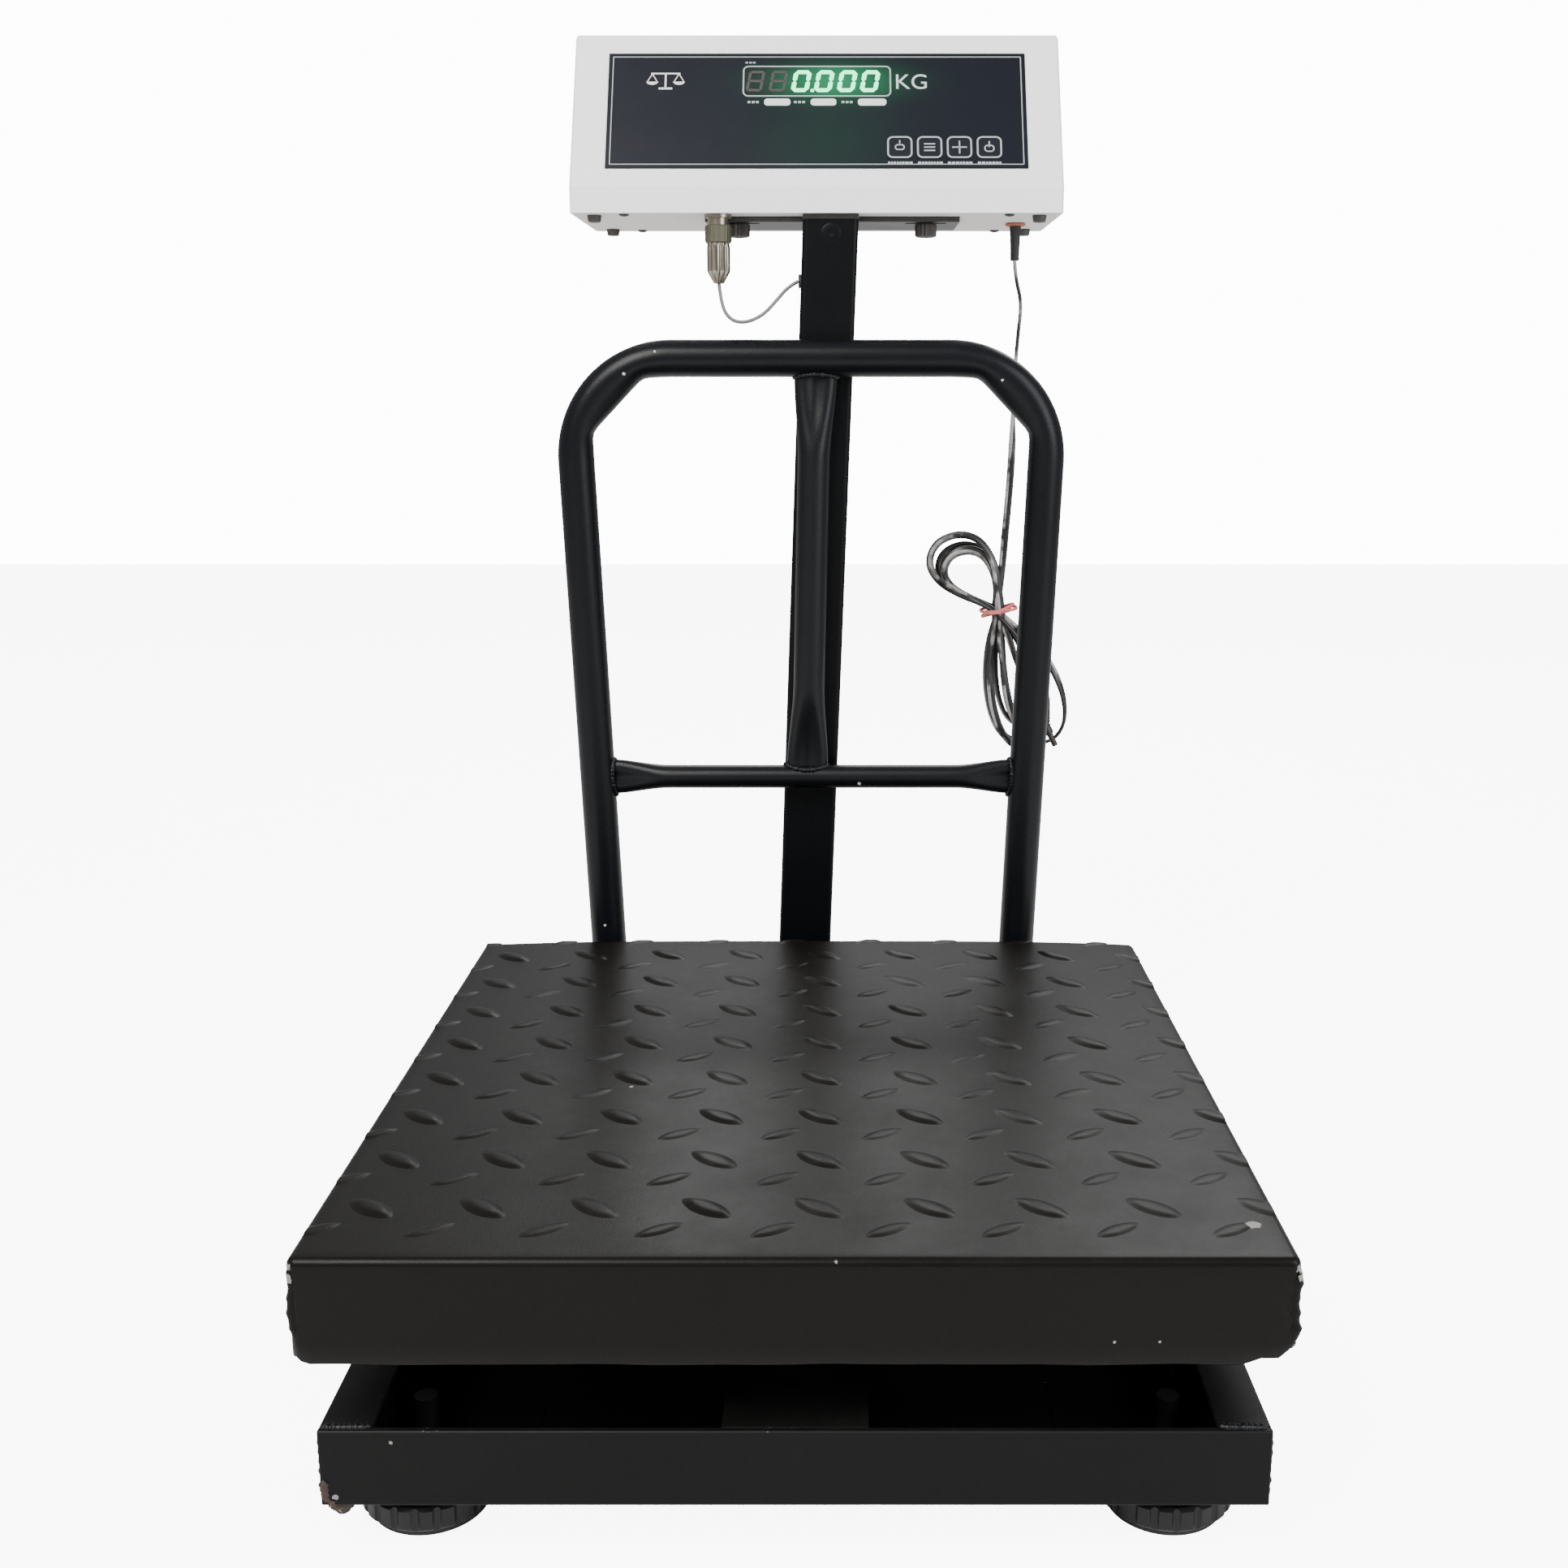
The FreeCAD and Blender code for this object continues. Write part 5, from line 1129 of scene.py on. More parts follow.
def pan_shell():
    """A folded tray: a bowed top, rolled rim, skirts that wave a little and ragged lower
    corners."""
    bend = 0.0034
    corner = 0.0042
    rows = [(PAN_HALF * share, 0.0) for share in (0.97, 0.85, 0.70, 0.55, 0.40, 0.27, 0.17,
                                                  0.09, 0.04)]
    for step in range(5):
        angle = math.pi / 2 * step / 4
        rows.append((bend - bend * math.sin(angle), -bend + bend * math.cos(angle)))
    rows += [(0.0, -0.012), (0.0, -0.024), (0.0, -0.036)]
    rings = []
    for inset, drop in rows:
        ring = []
        for point in pan_outline(inset, corner):
            wave = 0.0
            if drop < -0.004:
                wave = 0.0007 * noise.noise(Vector((point.x * 9, point.y * 9, drop * 30)))
            out = point.normalized() * wave
            rise = crown(point.x, point.y) * (1 - smooth_step(0, -0.030, drop) if drop < 0
                                              else 1)
            ring.append(Vector((PAN_MIDDLE.x + point.x + out.x, PAN_MIDDLE.y + point.y + out.y,
                                PAN_HIGH.z + drop + rise)))
        rings.append(ring)
    for inset, lift in ((0.0, 0.0006), (0.0005, 0.0), (0.0021, 0.0), (0.0026, 0.0006)):
        ring = []
        for point in pan_outline(inset, corner):
            ring.append(Vector((PAN_MIDDLE.x + point.x, PAN_MIDDLE.y + point.y,
                                PAN_LOW.z + lift + pan_hem(point.x, point.y))))
        rings.append(ring)
    rings.append([Vector((PAN_MIDDLE.x + p.x, PAN_MIDDLE.y + p.y, PAN_HIGH.z - 0.003))
                  for p in pan_outline(0.0028, corner)])
    shell = add_mesh("pan_shell", skin(rings), sharp=50)
    settle(shell, "pan", PAN_PAINT, ("platform_pan",))


def pan_welds():
    """Beads down the pan's four corners, under the paint."""
    parts = []
    for number, (sx, sy) in enumerate(((-1, -1), (1, -1), (-1, 1), (1, 1))):
        x = PAN_MIDDLE.x + sx * (PAN_HALF - 0.0018)
        y = PAN_MIDDLE.y + sy * (PAN_HALF - 0.0018)
        top = PAN_HIGH.z - 0.004
        points = [(x + 0.0006 * math.sin(step * 1.7 + number), y, top - 0.0065 * step)
                  for step in range(6)]
        parts.append(bead(points, 0.0020, number + 1.5, pitch=0.006, count=12))
    settle(joined("pan_welds", parts, sharp=80), "pan", PAN_PAINT)


def shape_tree(name, inputs):
    """An empty geometry tree with named inputs."""
    tree = bpy.data.node_groups.new(name, "GeometryNodeTree")
    for label, kind in (("Geometry", "Geometry"), *inputs):
        tree.interface.new_socket(label, in_out="INPUT", socket_type="NodeSocket" + kind)
    tree.interface.new_socket("Geometry", in_out="OUTPUT", socket_type="NodeSocketGeometry")
    wires = Wiring(tree)
    return tree, wires, wires.add("NodeGroupInput").outputs


def finish_tree(tree, wires, copies, finish):
    """Ends a tree: the copies become real and take their finish."""
    real = wires.add("GeometryNodeRealizeInstances", {"Geometry": copies})
    painted = wires.add("GeometryNodeSetMaterial", {"Geometry": real.outputs[0],
                                                    "Material": finish})
    tree.links.new(painted.outputs[0], wires.add("NodeGroupOutput").inputs[0])
    return tree


def lug_tree():
    """Raised lugs on one lattice, each lug a soft oval bump of its own height."""
    sizes = ("Pitch", "Lug Length", "Lug Width", "Lug Height", "Lug Turn")
    tree, wires, given = shape_tree("tread_lugs", [(label, "Float") for label in sizes]
                                    + [("Columns", "Int"), ("Rows", "Int"), ("Seed", "Int"),
                                       ("Paint", "Material")])
    grid = wires.add("GeometryNodeMeshGrid", {"Size X": given["Lug Length"],
                                              "Size Y": given["Lug Width"],
                                              "Vertices X": 21, "Vertices Y": 11})
    place = wires.add("ShaderNodeSeparateXYZ",
                      {"Vector": wires.add("GeometryNodeInputPosition").outputs[0]})

    def share(axis, size):
        half = wires.sum("MULTIPLY", given[size], 0.5)
        return wires.sum("DIVIDE", place.outputs[axis], half)
    along = share("X", "Lug Length")
    across = share("Y", "Lug Width")
    along_square = wires.sum("MULTIPLY", along, along)
    taper = wires.sum("SUBTRACT", 1.0, wires.sum("MULTIPLY", along_square, 0.72))
    narrow = wires.sum("MULTIPLY", place.outputs["Y"], taper)
    ridge = wires.sum("SUBTRACT", 1.0, wires.sum("MULTIPLY", across, across))
    length_wise = wires.sum("SUBTRACT", 1.0, wires.sum("POWER", along_square, 1.5))
    bump = wires.sum("MULTIPLY", wires.sum("MAXIMUM", ridge, 0.0),
                     wires.sum("MAXIMUM", length_wise, 0.0))
    soft = wires.between(bump, 0.0, 1.0)
    height = wires.sum("SUBTRACT", wires.sum("MULTIPLY", soft, given["Lug Height"]), 0.00004)
    spot = wires.add("ShaderNodeCombineXYZ", {"X": place.outputs["X"], "Y": narrow,
                                              "Z": height})
    lug = wires.add("GeometryNodeSetPosition", {"Geometry": grid.outputs["Mesh"],
                                                "Position": spot.outputs[0]})
    smooth = wires.add("GeometryNodeSetShadeSmooth", {"Geometry": lug.outputs[0]})
    wide = wires.sum("MULTIPLY", given["Pitch"], wires.sum("SUBTRACT", given["Columns"], 1.0))
    deep = wires.sum("MULTIPLY", given["Pitch"], wires.sum("SUBTRACT", given["Rows"], 1.0))
    lattice = wires.add("GeometryNodeMeshGrid", {"Size X": wide, "Size Y": deep,
                                                 "Vertices X": given["Columns"],
                                                 "Vertices Y": given["Rows"]})
    turn = wires.add("ShaderNodeCombineXYZ", {"Z": given["Lug Turn"]})
    rise = wires.add("FunctionNodeRandomValue", data_type="FLOAT")
    rise.inputs[2].default_value = 0.65
    rise.inputs[3].default_value = 1.1
    wires.feed(rise.inputs["Seed"], given["Seed"])
    size = wires.add("ShaderNodeCombineXYZ", {"X": 1.0, "Y": 1.0, "Z": rise.outputs[1]})
    spread = wires.add("GeometryNodeInstanceOnPoints",
                       {"Points": lattice.outputs["Mesh"], "Instance": smooth.outputs[0],
                        "Rotation": turn.outputs[0], "Scale": size.outputs[0]})
    return finish_tree(tree, wires, spread.outputs[0], given["Paint"])


def run_tree(piece, tree, values):
    """Gives a piece one geometry tree's result as its plain mesh."""
    modifier = piece.modifiers.new("shape", "NODES")
    modifier.node_group = tree
    keys = {item.name: item.identifier for item in tree.interface.items_tree
            if item.item_type == "SOCKET" and item.in_out == "INPUT"}
    for name, value in values.items():
        modifier[keys[name]] = value
    make_plain(piece)


LUG_SETS = (("tread_lugs_main", 9, 8, 0.0092, 0.0077, -40, 0.0270, 0.0124, 0.0014, 3),
            ("tread_lugs_cross", 9, 9, -0.0087, 0.0117, 33, 0.0225, 0.0086, 0.0008, 8))


def tread_lugs():
    """Two lattices of pressed lugs that lean opposite ways, trimmed at the pan's rim."""
    tree = lug_tree()
    reach = PAN_HALF - 0.0018
    for name, columns, rows, x, y, turn, long, wide, tall, seed in LUG_SETS:
        lugs = add_mesh(name, bmesh.new())
        run_tree(lugs, tree, {"Pitch": 0.0466, "Lug Length": long, "Lug Width": wide,
                              "Lug Height": tall, "Lug Turn": math.radians(turn),
                              "Columns": columns, "Rows": rows, "Seed": seed,
                              "Paint": PAN_PAINT})
        bm = bmesh.new()
        bm.from_mesh(lugs.data)
        bmesh.ops.translate(bm, verts=bm.verts, vec=(x, y, 0))
        for side in ((1, 0, 0), (-1, 0, 0), (0, 1, 0), (0, -1, 0)):
            bmesh.ops.bisect_plane(bm, geom=bm.verts[:] + bm.edges[:] + bm.faces[:],
                                   dist=0.00001, plane_co=Vector(side) * reach,
                                   plane_no=Vector(side), clear_outer=True)
        for vertex in bm.verts:
            vertex.co.z += crown(vertex.co.x, vertex.co.y)
        bm.to_mesh(lugs.data)
        bm.free()
        lugs.data.transform(Matrix.Translation((PAN_MIDDLE.x, PAN_MIDDLE.y, PAN_HIGH.z)))
        settle(lugs, "pan")


# ---------------------------------------------------------------- guard rail

GUARD_X, GUARD_Y = 0.002, 0.147
PIPE_RADIUS, BEND_RADIUS = 0.01065, 0.057
GUARD_TOP, CORNER_HALF = 0.4864, 0.14065
SPLAY = math.radians(2.093)
SHELF_TOP, SOCKET_TALL = 0.056, 0.038


def crossbar_level():
    return sum(corner[2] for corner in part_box("rail_crossbar")) / 2


def leg_reach(level):
    """How far a leg's middle stands from the guard's middle at this height."""
    return CORNER_HALF - (GUARD_TOP - level) * math.tan(SPLAY)


def inner_reach(turn):
    """How far the pipe's inside stands from its middle at this angle of a bend. The inside
    of each bend is crushed to a straight facet."""
    inner = BEND_RADIUS - PIPE_RADIUS
    facet, softness, far = 0.0437, 0.0012, 9.0
    whole = math.pi / 2 + SPLAY
    sides = (inner / max(math.cos(turn), 0.02),
             inner / max(math.sin(turn), 0.02) if turn > 0.02 else far,
             facet / math.cos(turn - whole / 2))
    nearest = -softness * math.log(sum(math.exp(-side / softness) for side in sides))
    return BEND_RADIUS - min(nearest, inner * 1.06)


def hoop_stations():
    """Middle, inward direction and inward reach of the pipe, from the right foot to the left."""
    whole = math.pi / 2 + SPLAY
    set_back = BEND_RADIUS * math.tan(whole / 2)
    arc_x = CORNER_HALF - set_back
    centre = Vector((arc_x, GUARD_TOP - BEND_RADIUS))
    foot = Vector((leg_reach(SHELF_TOP), SHELF_TOP))
    leg_inward = Vector((-math.cos(SPLAY), math.sin(SPLAY)))
    leg_end = centre - leg_inward * BEND_RADIUS
    stations = [(foot.lerp(leg_end, step / 12), leg_inward, PIPE_RADIUS) for step in range(12)]
    for step in range(25):
        turn = whole * step / 24
        angle = turn - SPLAY
        out = Vector((math.cos(angle), math.sin(angle)))
        stations.append((centre + out * BEND_RADIUS, -out, inner_reach(turn)))
    for step in range(1, 6):
        stations.append((Vector((arc_x * (1 - step / 5), GUARD_TOP)), Vector((0, -1)),
                         PIPE_RADIUS))
    mirrored = [(Vector((-spot.x, spot.y)), Vector((-inward.x, inward.y)), reach)
                for spot, inward, reach in reversed(stations[:-1])]
    return stations + mirrored


def hoop():
    """The bent pipe of the guard rail."""
    rings = []
    for spot, inward, reach in hoop_stations():
        ring = []
        for step in range(40):
            angle = 2 * math.pi * step / 40
            along = math.cos(angle) * (reach if math.cos(angle) > 0 else PIPE_RADIUS)
            ring.append(Vector((GUARD_X + spot.x + inward.x * along,
                                GUARD_Y + math.sin(angle) * PIPE_RADIUS,
                                spot.y + inward.y * along)))
        rings.append(ring)
    settle(add_mesh("guard_hoop", skin(rings), sharp=60), "base", RAIL_PAINT,
           ("rail_hoop",))


def pressed_tube(start, end, wide_way, radius, end_wide, end_thin, flare, fold):
    """A tube that is round in the middle and pressed flat at both ends, folded inwards there."""
    along = end - start
    way = along.normalized()
    thin_way = way.cross(wide_way)
    rings = []
    steps = 64
    for step in range(steps + 1):
        share = step / steps
        share = share - 0.12 * math.sin(2 * math.pi * share)
        gap = min(share, 1 - share) * along.length
        pressed = 1 - smooth_step(0.004, flare, gap)
        wide = radius + (end_wide - radius) * pressed
        thin = radius + (end_thin - radius) * pressed
        ring = []
        for i in range(32):
            angle = 2 * math.pi * i / 32
            across = math.cos(angle)
            pinch = 1 - fold * pressed * math.exp(-(across / 0.42) ** 2)
            ring.append(start + along * share + wide_way * (wide * across)
                        + thin_way * (thin * math.sin(angle) * pinch))
        rings.append(ring)
    return skin(rings)


def guard_braces():
    """The crossbar between the legs and the strut above it."""
    level = crossbar_level()
    half = leg_reach(level)
    left = Vector((GUARD_X - half + 0.004, GUARD_Y, level))
    right = Vector((GUARD_X + half - 0.004, GUARD_Y, level))
    crossbar = add_mesh("guard_crossbar", pressed_tube(left, right, Vector((0, 0, 1)), 0.0071,
                                                       0.0108, 0.0045, 0.040, 0.45), sharp=80)
    settle(crossbar, "base", BAR_PAINT, ("rail_crossbar",))
    low, high = strut_ends()
    way = (high - low).normalized()
    strut = add_mesh("guard_strut", pressed_tube(low + way * 0.002, high - way * 0.004,
                                                 Vector((0, 1, 0)).cross(way), 0.0095, 0.0125,
                                                 0.0050, 0.055, 0.62), sharp=80)
    settle(strut, "base", BAR_PAINT, ("rail_strut",))


def strut_ends():
    """The strut's middle at the crossbar and at the hoop's top: it leans a little."""
    return Vector((-0.001, GUARD_Y, crossbar_level())), Vector((0.005, GUARD_Y, GUARD_TOP))


def ring_about(centre, normal, radius, start=0.0, sweep=2 * math.pi, count=28):
    """Points of an arc about an axis, for a bead round a pipe."""
    normal = Vector(normal).normalized()
    side = normal.orthogonal().normalized()
    other = normal.cross(side)
    return [Vector(centre) + (side * math.cos(a) + other * math.sin(a)) * radius
            for a in (start + sweep * i / count for i in range(count + 1))]


def saddle(centre, pipe_way, bar_way, wide, thin, pipe_radius, count=26):
    """Points round the joint of a flattened bar and the pipe that it stands on."""
    pipe_way, bar_way = Vector(pipe_way).normalized(), Vector(bar_way).normalized()
    thin_way = pipe_way.cross(bar_way)
    points = []
    for step in range(count + 1):
        angle = 2 * math.pi * step / count
        side = thin * math.sin(angle)
        rise = math.sqrt(max(pipe_radius ** 2 - side ** 2, 0))
        points.append(Vector(centre) + pipe_way * (wide * math.cos(angle)) + thin_way * side
                      + bar_way * rise)
    return points


def rail_welds():
    """Beads where the crossbar, the strut and the sockets meet the pipe."""
    level = crossbar_level()
    slope = math.tan(SPLAY)
    half = leg_reach(level)
    parts = []
    for sign in (-1, 1):
        centre = (GUARD_X + sign * half, GUARD_Y, level)
        parts.append(bead(saddle(centre, (sign * slope, 0, 1), (-sign, 0, 0), 0.0112, 0.0050,
                                 PIPE_RADIUS), 0.0016, 3 + sign))
    strut_low, strut_high = strut_ends()
    parts.append(bead(saddle(strut_high, (1, 0, 0), (0, 0, -1), 0.0128, 0.0054, PIPE_RADIUS),
                      0.0015, 7))
    parts.append(bead(saddle(strut_low, (1, 0, 0), (0, 0, 1), 0.0126, 0.0052, 0.0072), 0.0016,
                      9))
    foot = leg_reach(SHELF_TOP)
    for sign in (-1, 1):
        parts.append(bead(ring_about((GUARD_X + sign * foot, GUARD_Y, SHELF_TOP + 0.001),
                                     (0, 0, 1), 0.0143), 0.0019, 12 + sign))
        top = SHELF_TOP + SOCKET_TALL
        parts.append(bead(ring_about((GUARD_X + sign * (foot + SOCKET_TALL * slope), GUARD_Y, top),
                                     (0, 0, 1), 0.0118), 0.0014, 15 + sign))
    settle(joined("rail_welds", parts, sharp=80), "base", WELD_PAINT)


# ---------------------------------------------------------------- base

def base_rails():
    """The base's bars, shelf, flange and bracket, with their edges rounded."""
    for node, width in (("base_front_rail", 0.0007), ("base_rear_rail", 0.0007),
                        ("base_side_rails", 0.0012), ("base_center_beam", 0.0010),
                        ("foot_plates", 0.0005), ("rear_shelf", 0.0010)):
        eased(node, width, "base", BASE_PAINT, BASE_RIM)
    eased("column_flange", 0.0006, "base", BASE_PAINT, BASE_RIM)
    eased("indicator_bracket", 0.0004, "base", DARK_STEEL, DARK_STEEL)


COLUMN_HALF = 0.01625


def column_foot():
    """The column's middle at its foot; its top stands further to the right."""
    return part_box("column")[0][0] + COLUMN_HALF


def base_welds():
    """Beads where the base's bars meet, and the rough blob under its front left corner."""
    low, high = (Vector(corner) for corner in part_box("base_front_rail"))
    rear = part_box("base_rear_rail")[1][1]
    parts = []
    for sx in (-1, 1):
        inner = high.x - 0.022
        for y, seed in ((low.y + 0.003, 2), (rear - 0.003, 5)):
            points = [(sx * (high.x - 0.002), y, high.z - 0.0004),
                      (sx * (inner + 0.004), y, high.z - 0.0002),
                      (sx * inner, y + 0.002, high.z - 0.001)]
            parts.append(bead(points, 0.0019, seed + sx))
        parts.append(bead([(sx * (high.x - 0.0007), low.y + 0.0022, high.z - 0.002),
                           (sx * (high.x - 0.0007), low.y + 0.0022, low.z + 0.002)], 0.0013,
                          8 + sx, pitch=0.004))
    left, right = column_foot() - COLUMN_HALF, column_foot() + COLUMN_HALF
    front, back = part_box("column")[0][1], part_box("column")[1][1]
    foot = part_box("column")[0][2] + 0.0006
    ring = [(left, front), (right, front), (right, back), (left, back), (left, front + 0.001)]
    parts.append(bead([(x, y, foot) for x, y in ring], 0.0020, 21))
    settle(joined("base_welds", parts, sharp=80), "base", WELD_PAINT)
    blob = bmesh.new()
    bmesh.ops.create_icosphere(blob, subdivisions=4, radius=0.0048)
    for vertex in blob.verts:
        lump = 1 + 0.28 * noise.noise(vertex.co * 420) + 0.12 * noise.noise(vertex.co * 1300)
        vertex.co = Vector((vertex.co.x * 1.05, vertex.co.y * 0.75, vertex.co.z * 1.0)) * lump
    bmesh.ops.translate(blob, verts=blob.verts, vec=(low.x + 0.0075, low.y + 0.0048,
                                                     low.z - 0.0012))
    trail = bead([(low.x + 0.0012, low.y + 0.001, low.z + 0.012),
                  (low.x + 0.0020, low.y + 0.0012, low.z + 0.003),
                  (low.x + 0.0060, low.y + 0.0020, low.z - 0.001)], 0.0020, 31)
    settle(joined("rusty_blob", [blob, trail], sharp=80), "base", RUST)


# ---------------------------------------------------------------- fasteners and small parts

def spread_tree():
    """Puts one shape at every point of a mesh."""
    tree, wires, given = shape_tree("spread", (("Shape", "Object"), ("Scale", "Float"),
                                               ("Seed", "Int"), ("Axis", "Vector"),
                                               ("Finish", "Material")))
    shape = wires.add("GeometryNodeObjectInfo", {"Object": given["Shape"]})
    spin = wires.add("FunctionNodeRandomValue", data_type="FLOAT")
    spin.inputs[2].default_value = 0.0
    spin.inputs[3].default_value = 2 * math.pi
    wires.feed(spin.inputs["Seed"], given["Seed"])
    about = wires.add("FunctionNodeAxisAngleToRotation",
                      {"Axis": (0, 0, 1), "Angle": spin.outputs[1]})
    lean = wires.add("FunctionNodeAlignRotationToVector", {"Vector": given["Axis"]}, axis="Z")
    turn = wires.add("FunctionNodeRotateRotation", {"Rotation": lean.outputs[0],
                                                    "Rotate By": about.outputs[0]},
                     rotation_space="LOCAL")
    spread = wires.add("GeometryNodeInstanceOnPoints",
                       {"Points": given["Geometry"], "Instance": shape.outputs["Geometry"],
                        "Rotation": turn.outputs[0], "Scale": given["Scale"]})
    return finish_tree(tree, wires, spread.outputs[0], given["Finish"])


def spread(name, shape, spots, axis, finish, seed=1):
    """One piece that holds a copy of the shape at every spot, its Z along the axis."""
    master = add_mesh(name + "_master", shape, sharp=30)
    points = bmesh.new()
    for spot in spots:
        points.verts.new(spot)
    piece = add_mesh(name, points)
    run_tree(piece, SPREAD, {"Shape": master, "Scale": 1.0, "Seed": seed,
                             "Axis": Vector(axis), "Finish": finish})
    bpy.data.objects.remove(master)
    return piece


def hexagon_bolt(radius, long, flats, rise):
    """A hexagon bolt with a washer face, its head on z = 0 and its shank below."""
    bm = turned([(0.00001, -long), (radius * 0.85, -long), (radius, -long + 0.0008),
                 (radius, 0.0), (0.00001, 0.0)], (0, 0, 0), count=24)
    head = turned([(0.00001, 0.0), (flats * 0.5, 0.0), (flats * 0.5, 0.0003),
                   (0.00001, 0.0003)], (0, 0, 0), count=36)
    reach = flats / math.sqrt(3)
    rows = []
    for scale, height in ((0.96, 0.0003), (1.0, 0.0007), (1.0, rise - 0.0006), (0.93, rise)):
        rows.append([Vector((reach * scale * math.cos(a), reach * scale * math.sin(a), height))
                     for a in (math.pi / 3 * i for i in range(6))])
    return joined_mesh([bm, head, skin(rows)])


def cross_screw(radius, rise, shank, long):
    """A pan-head screw with a cross recess, its head on z = 0."""
    head = []
    for height, share in ((0.0, 1.0), (0.25, 1.0), (0.6, 0.90), (0.85, 0.70), (1.0, 0.42)):
        head.append((radius * share, rise * height))
    count = 48
    rings = []
    for reach, height in [(0.00001, 0.0)] + head:
        rings.append([Vector((reach * math.cos(a), reach * math.sin(a), height))
                      for a in (2 * math.pi * i / count for i in range(count))])
    for share, deep in ((0.40, 0.0), (0.20, 0.45), (0.02, 0.6)):
        ring = []
        for i in range(count):
            angle = 2 * math.pi * i / count
            arm = 0.35 + 0.65 * abs(math.cos(2 * angle)) ** 3
            reach = radius * share * (arm if deep else 1)
            ring.append(Vector((reach * math.cos(angle), reach * math.sin(angle),
                                rise * (1 - deep))))
        rings.append(ring)
    body = turned([(0.00001, -long), (shank, -long + 0.0005), (shank, 0.0), (0.00001, 0.0)],
                  (0, 0, 0), count=16)
    return joined_mesh([skin(rings), body])


def four_spots(middle, reach, level):
    """Four points round a middle, all at one level."""
    return [(middle[0] + across * reach[0], middle[1] + along * reach[1], level)
            for across in (-1, 1) for along in (-1, 1)]


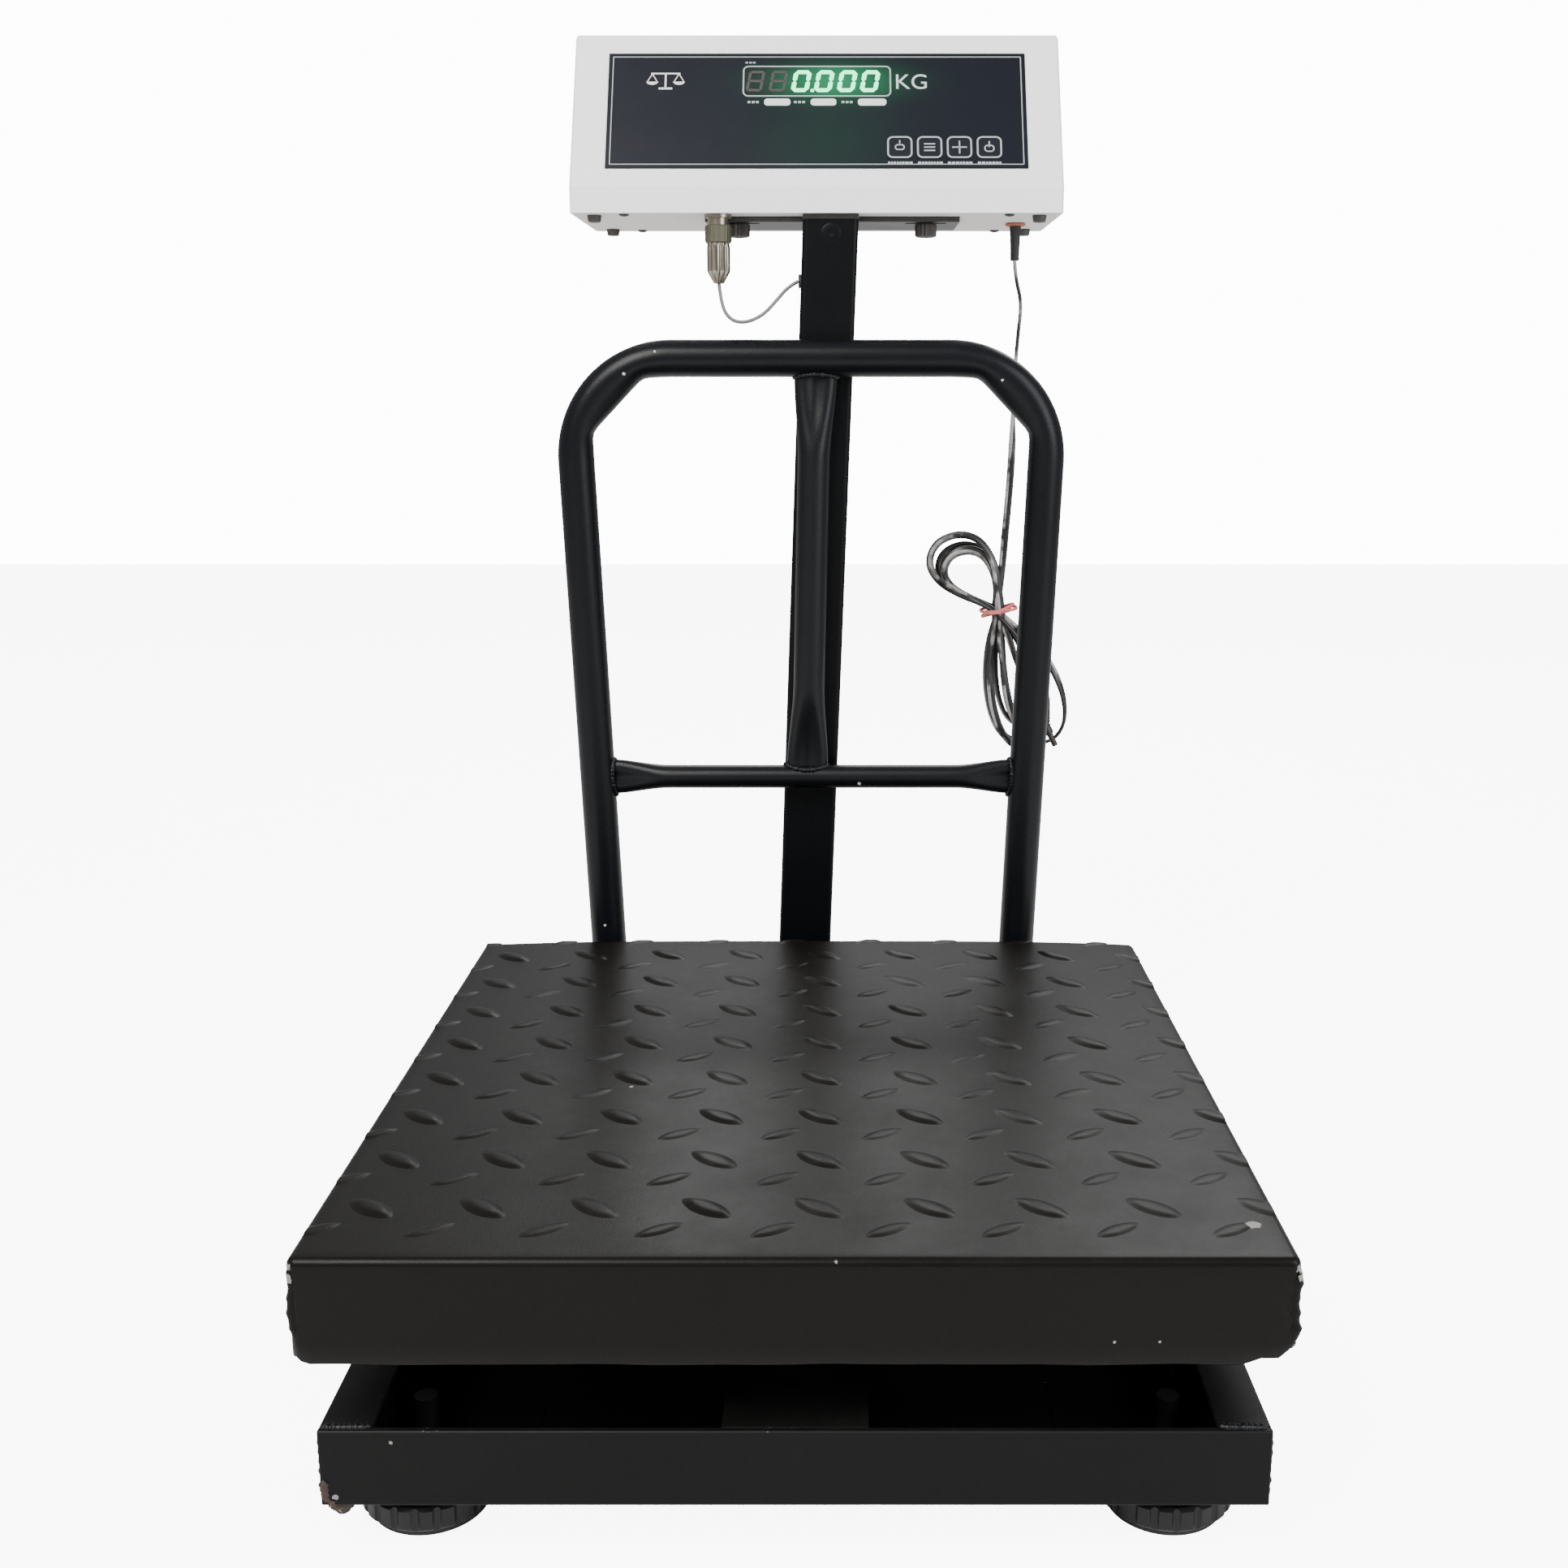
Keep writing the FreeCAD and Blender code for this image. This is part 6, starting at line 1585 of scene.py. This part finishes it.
def fasteners():
    """Bolts, screws, knobs and the case's feet, each set as one piece."""
    column_bolt_reach = (0.033, 0.013)
    case_screw_reach = (0.112, 0.050)
    case_foot_reach = (0.130, 0.044)
    shelf_bolts = (-0.12, -0.06, 0.06, 0.12)
    cell_bolts = (0.038, 0.063)
    column_low, column_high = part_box("column")
    column_middle = (column_foot(), (column_low[1] + column_high[1]) / 2)
    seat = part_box("column_flange")[1][2]
    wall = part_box("rear_shelf")[0][1] + 0.004
    level = sum(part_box("rear_shelf_bolts")[i][2] for i in (0, 1)) / 2
    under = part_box("lower_cell_bolts")[0][2] + 0.008
    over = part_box("upper_cell_bolts")[1][2] - 0.008
    case_middle = (CASE_X, (CASE_LOW.y + CASE_HIGH.y) / 2)
    bolts = (
        ("column_bolt_set", "column_bolts", hexagon_bolt(0.003, 0.018, 0.010, 0.004),
         four_spots(column_middle, column_bolt_reach, seat), (0, 0, 1), "base", 1),
        ("shelf_bolt_set", "rear_shelf_bolts", hexagon_bolt(0.004, 0.014, 0.0128, 0.0053),
         [(x, wall, level) for x in shelf_bolts], (0, 1, 0), "base", 2),
        ("lower_cell_bolt_set", "lower_cell_bolts", hexagon_bolt(0.004, 0.026, 0.0128, 0.008),
         [(0, PAN_MIDDLE.y + reach, under) for reach in cell_bolts], (0, 0, -1), "base", 3),
        ("upper_cell_bolt_set", "upper_cell_bolts", hexagon_bolt(0.004, 0.022, 0.0128, 0.008),
         [(0, PAN_MIDDLE.y - reach, over) for reach in cell_bolts], (0, 0, 1),
         "upper_frame", 4),
    )
    for name, node, shape, spots, axis, body, seed in bolts:
        settle(spread(name, shape, spots, axis, ZINC, seed), body, stands_for=[node])
    settle(spread("case_screw_set", cross_screw(0.0030, 0.0013, 0.0015, 0.008),
                  four_spots(case_middle, case_screw_reach, CASE_LOW.z), (0, 0, -1),
                  DARK_STEEL, 5), "base", stands_for=["case_screws"])
    foot = turned([(0.00001, 0.0), (0.0041, 0.0), (0.0042, 0.0005), (0.0037, 0.0035),
                   (0.0031, 0.0040), (0.0016, 0.0040), (0.0013, 0.0027), (0.00001, 0.0027)],
                  (0, 0, 0), count=32)
    settle(spread("case_foot_set", foot, four_spots(case_middle, case_foot_reach, CASE_LOW.z),
                  (0, 0, -1), KNOB_PLASTIC, 6), "base", stands_for=["case_feet"])
    knob_low, knob_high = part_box("bracket_knobs")
    knob = turned([(0.00001, -0.014), (0.0026, -0.014), (0.003, -0.0135), (0.003, 0.0),
                   (0.0052, 0.0), (0.0063, 0.0007), (0.0065, 0.0014), (0.0065, 0.0066),
                   (0.0062, 0.0075), (0.0052, 0.0080), (0.0030, 0.0080), (0.0026, 0.0074),
                   (0.00001, 0.0074)], (0, 0, 0), count=96, flutes=16, depth=0.0007,
                  fluted=(5, 6, 7, 8))
    settle(spread("bracket_knob_set", knob,
                  [(x, knob_low[1] + 0.0065, knob_low[2] + 0.008)
                   for x in (knob_low[0] + 0.0065, knob_high[0] - 0.0065)], (0, 0, -1),
                  KNOB_PLASTIC, 7),
           "base", stands_for=["bracket_knobs"])
    column_top = column_high[0] - COLUMN_HALF
    settle(spread("column_top_screw", cross_screw(0.0058, 0.0006, 0.002, 0.001),
                  [(column_top, column_low[1], column_high[2] - 0.008)], (0, -1, 0),
                  COLUMN_PAINT, 8), "base")


# ---------------------------------------------------------------- finishes of the CAD parts

def finish_nodes():
    """A material for every CAD part that stays in view."""
    film = panel_film("overlay_film", OVERLAY_INK, 0.16)
    cap = panel_film("key_film", (0.0085, 0.0100, 0.0150), 0.0)
    finishes = {
        "indicator_case": CASE_COAT, "indicator_bottom_plate": FLOOR_COAT,
        "panel_overlay": film, "display_window": smoked_lens(), "led_display": LED_BODY,
        "main_circuit_board": SOLDER_MASK, "key_switches": WHEEL_PLASTIC,
        "battery": BATTERY_SHELL, "column": COLUMN_PAINT, "column_grommet": RUBBER,
        "load_cell": CELL_METAL, "load_cell_spacer_lower": ZINC, "load_cell_spacer_upper": ZINC,
        "load_cell_cable_inner": CABLE_GREY, "load_cell_socket": NICKEL,
        # base_floor_sheets take the black frame paint: a dark sheet under the base that gives
        # painted shade inside the frame.
        "overload_stop": ZINC, "foot_jam_nuts": ZINC, "base_floor_sheets": BASE_PAINT,
        "pan_pads": RUBBER, "upper_center_beam": BASE_PAINT, "upper_cross_beams": BASE_PAINT,
        "rail_sockets": RAIL_PAINT,
    }
    for number in range(1, 5):
        finishes[f"panel_key_{number}"] = cap
    for tag in ("fl", "fr", "rl", "rr"):
        finishes[f"foot_wheel_{tag}"] = WHEEL_PLASTIC
        finishes[f"foot_pad_{tag}"] = RUBBER
    for name, material in finishes.items():
        node = nodes[name]
        if not node.material_slots:
            node.data.materials.append(material)
        for slot in node.material_slots:
            slot.material = material


add_camera()
add_studio()
SPREAD = spread_tree()
DIGIT_LIT = glowing("digit_lit", (0.10, 1.0, 0.45), 2.3, (0.2, 0.9, 0.4))
DIGIT_DARK = paint("digit_dark", (0.034, 0.033, 0.030), 0.5, mottle=0.2)
LED_BODY = paint("led_body", (0.02, 0.022, 0.02), 0.45, mottle=0.2)
cell_cable()
power_lead()
pan_shell()
pan_welds()
tread_lugs()
hoop()
guard_braces()
rail_welds()
base_rails()
base_welds()
fasteners()
display_digits()
unit_mark()
balance_sign()
panel_print()
for key_number in range(1, 5):
    key_marks(key_number)
finish_nodes()
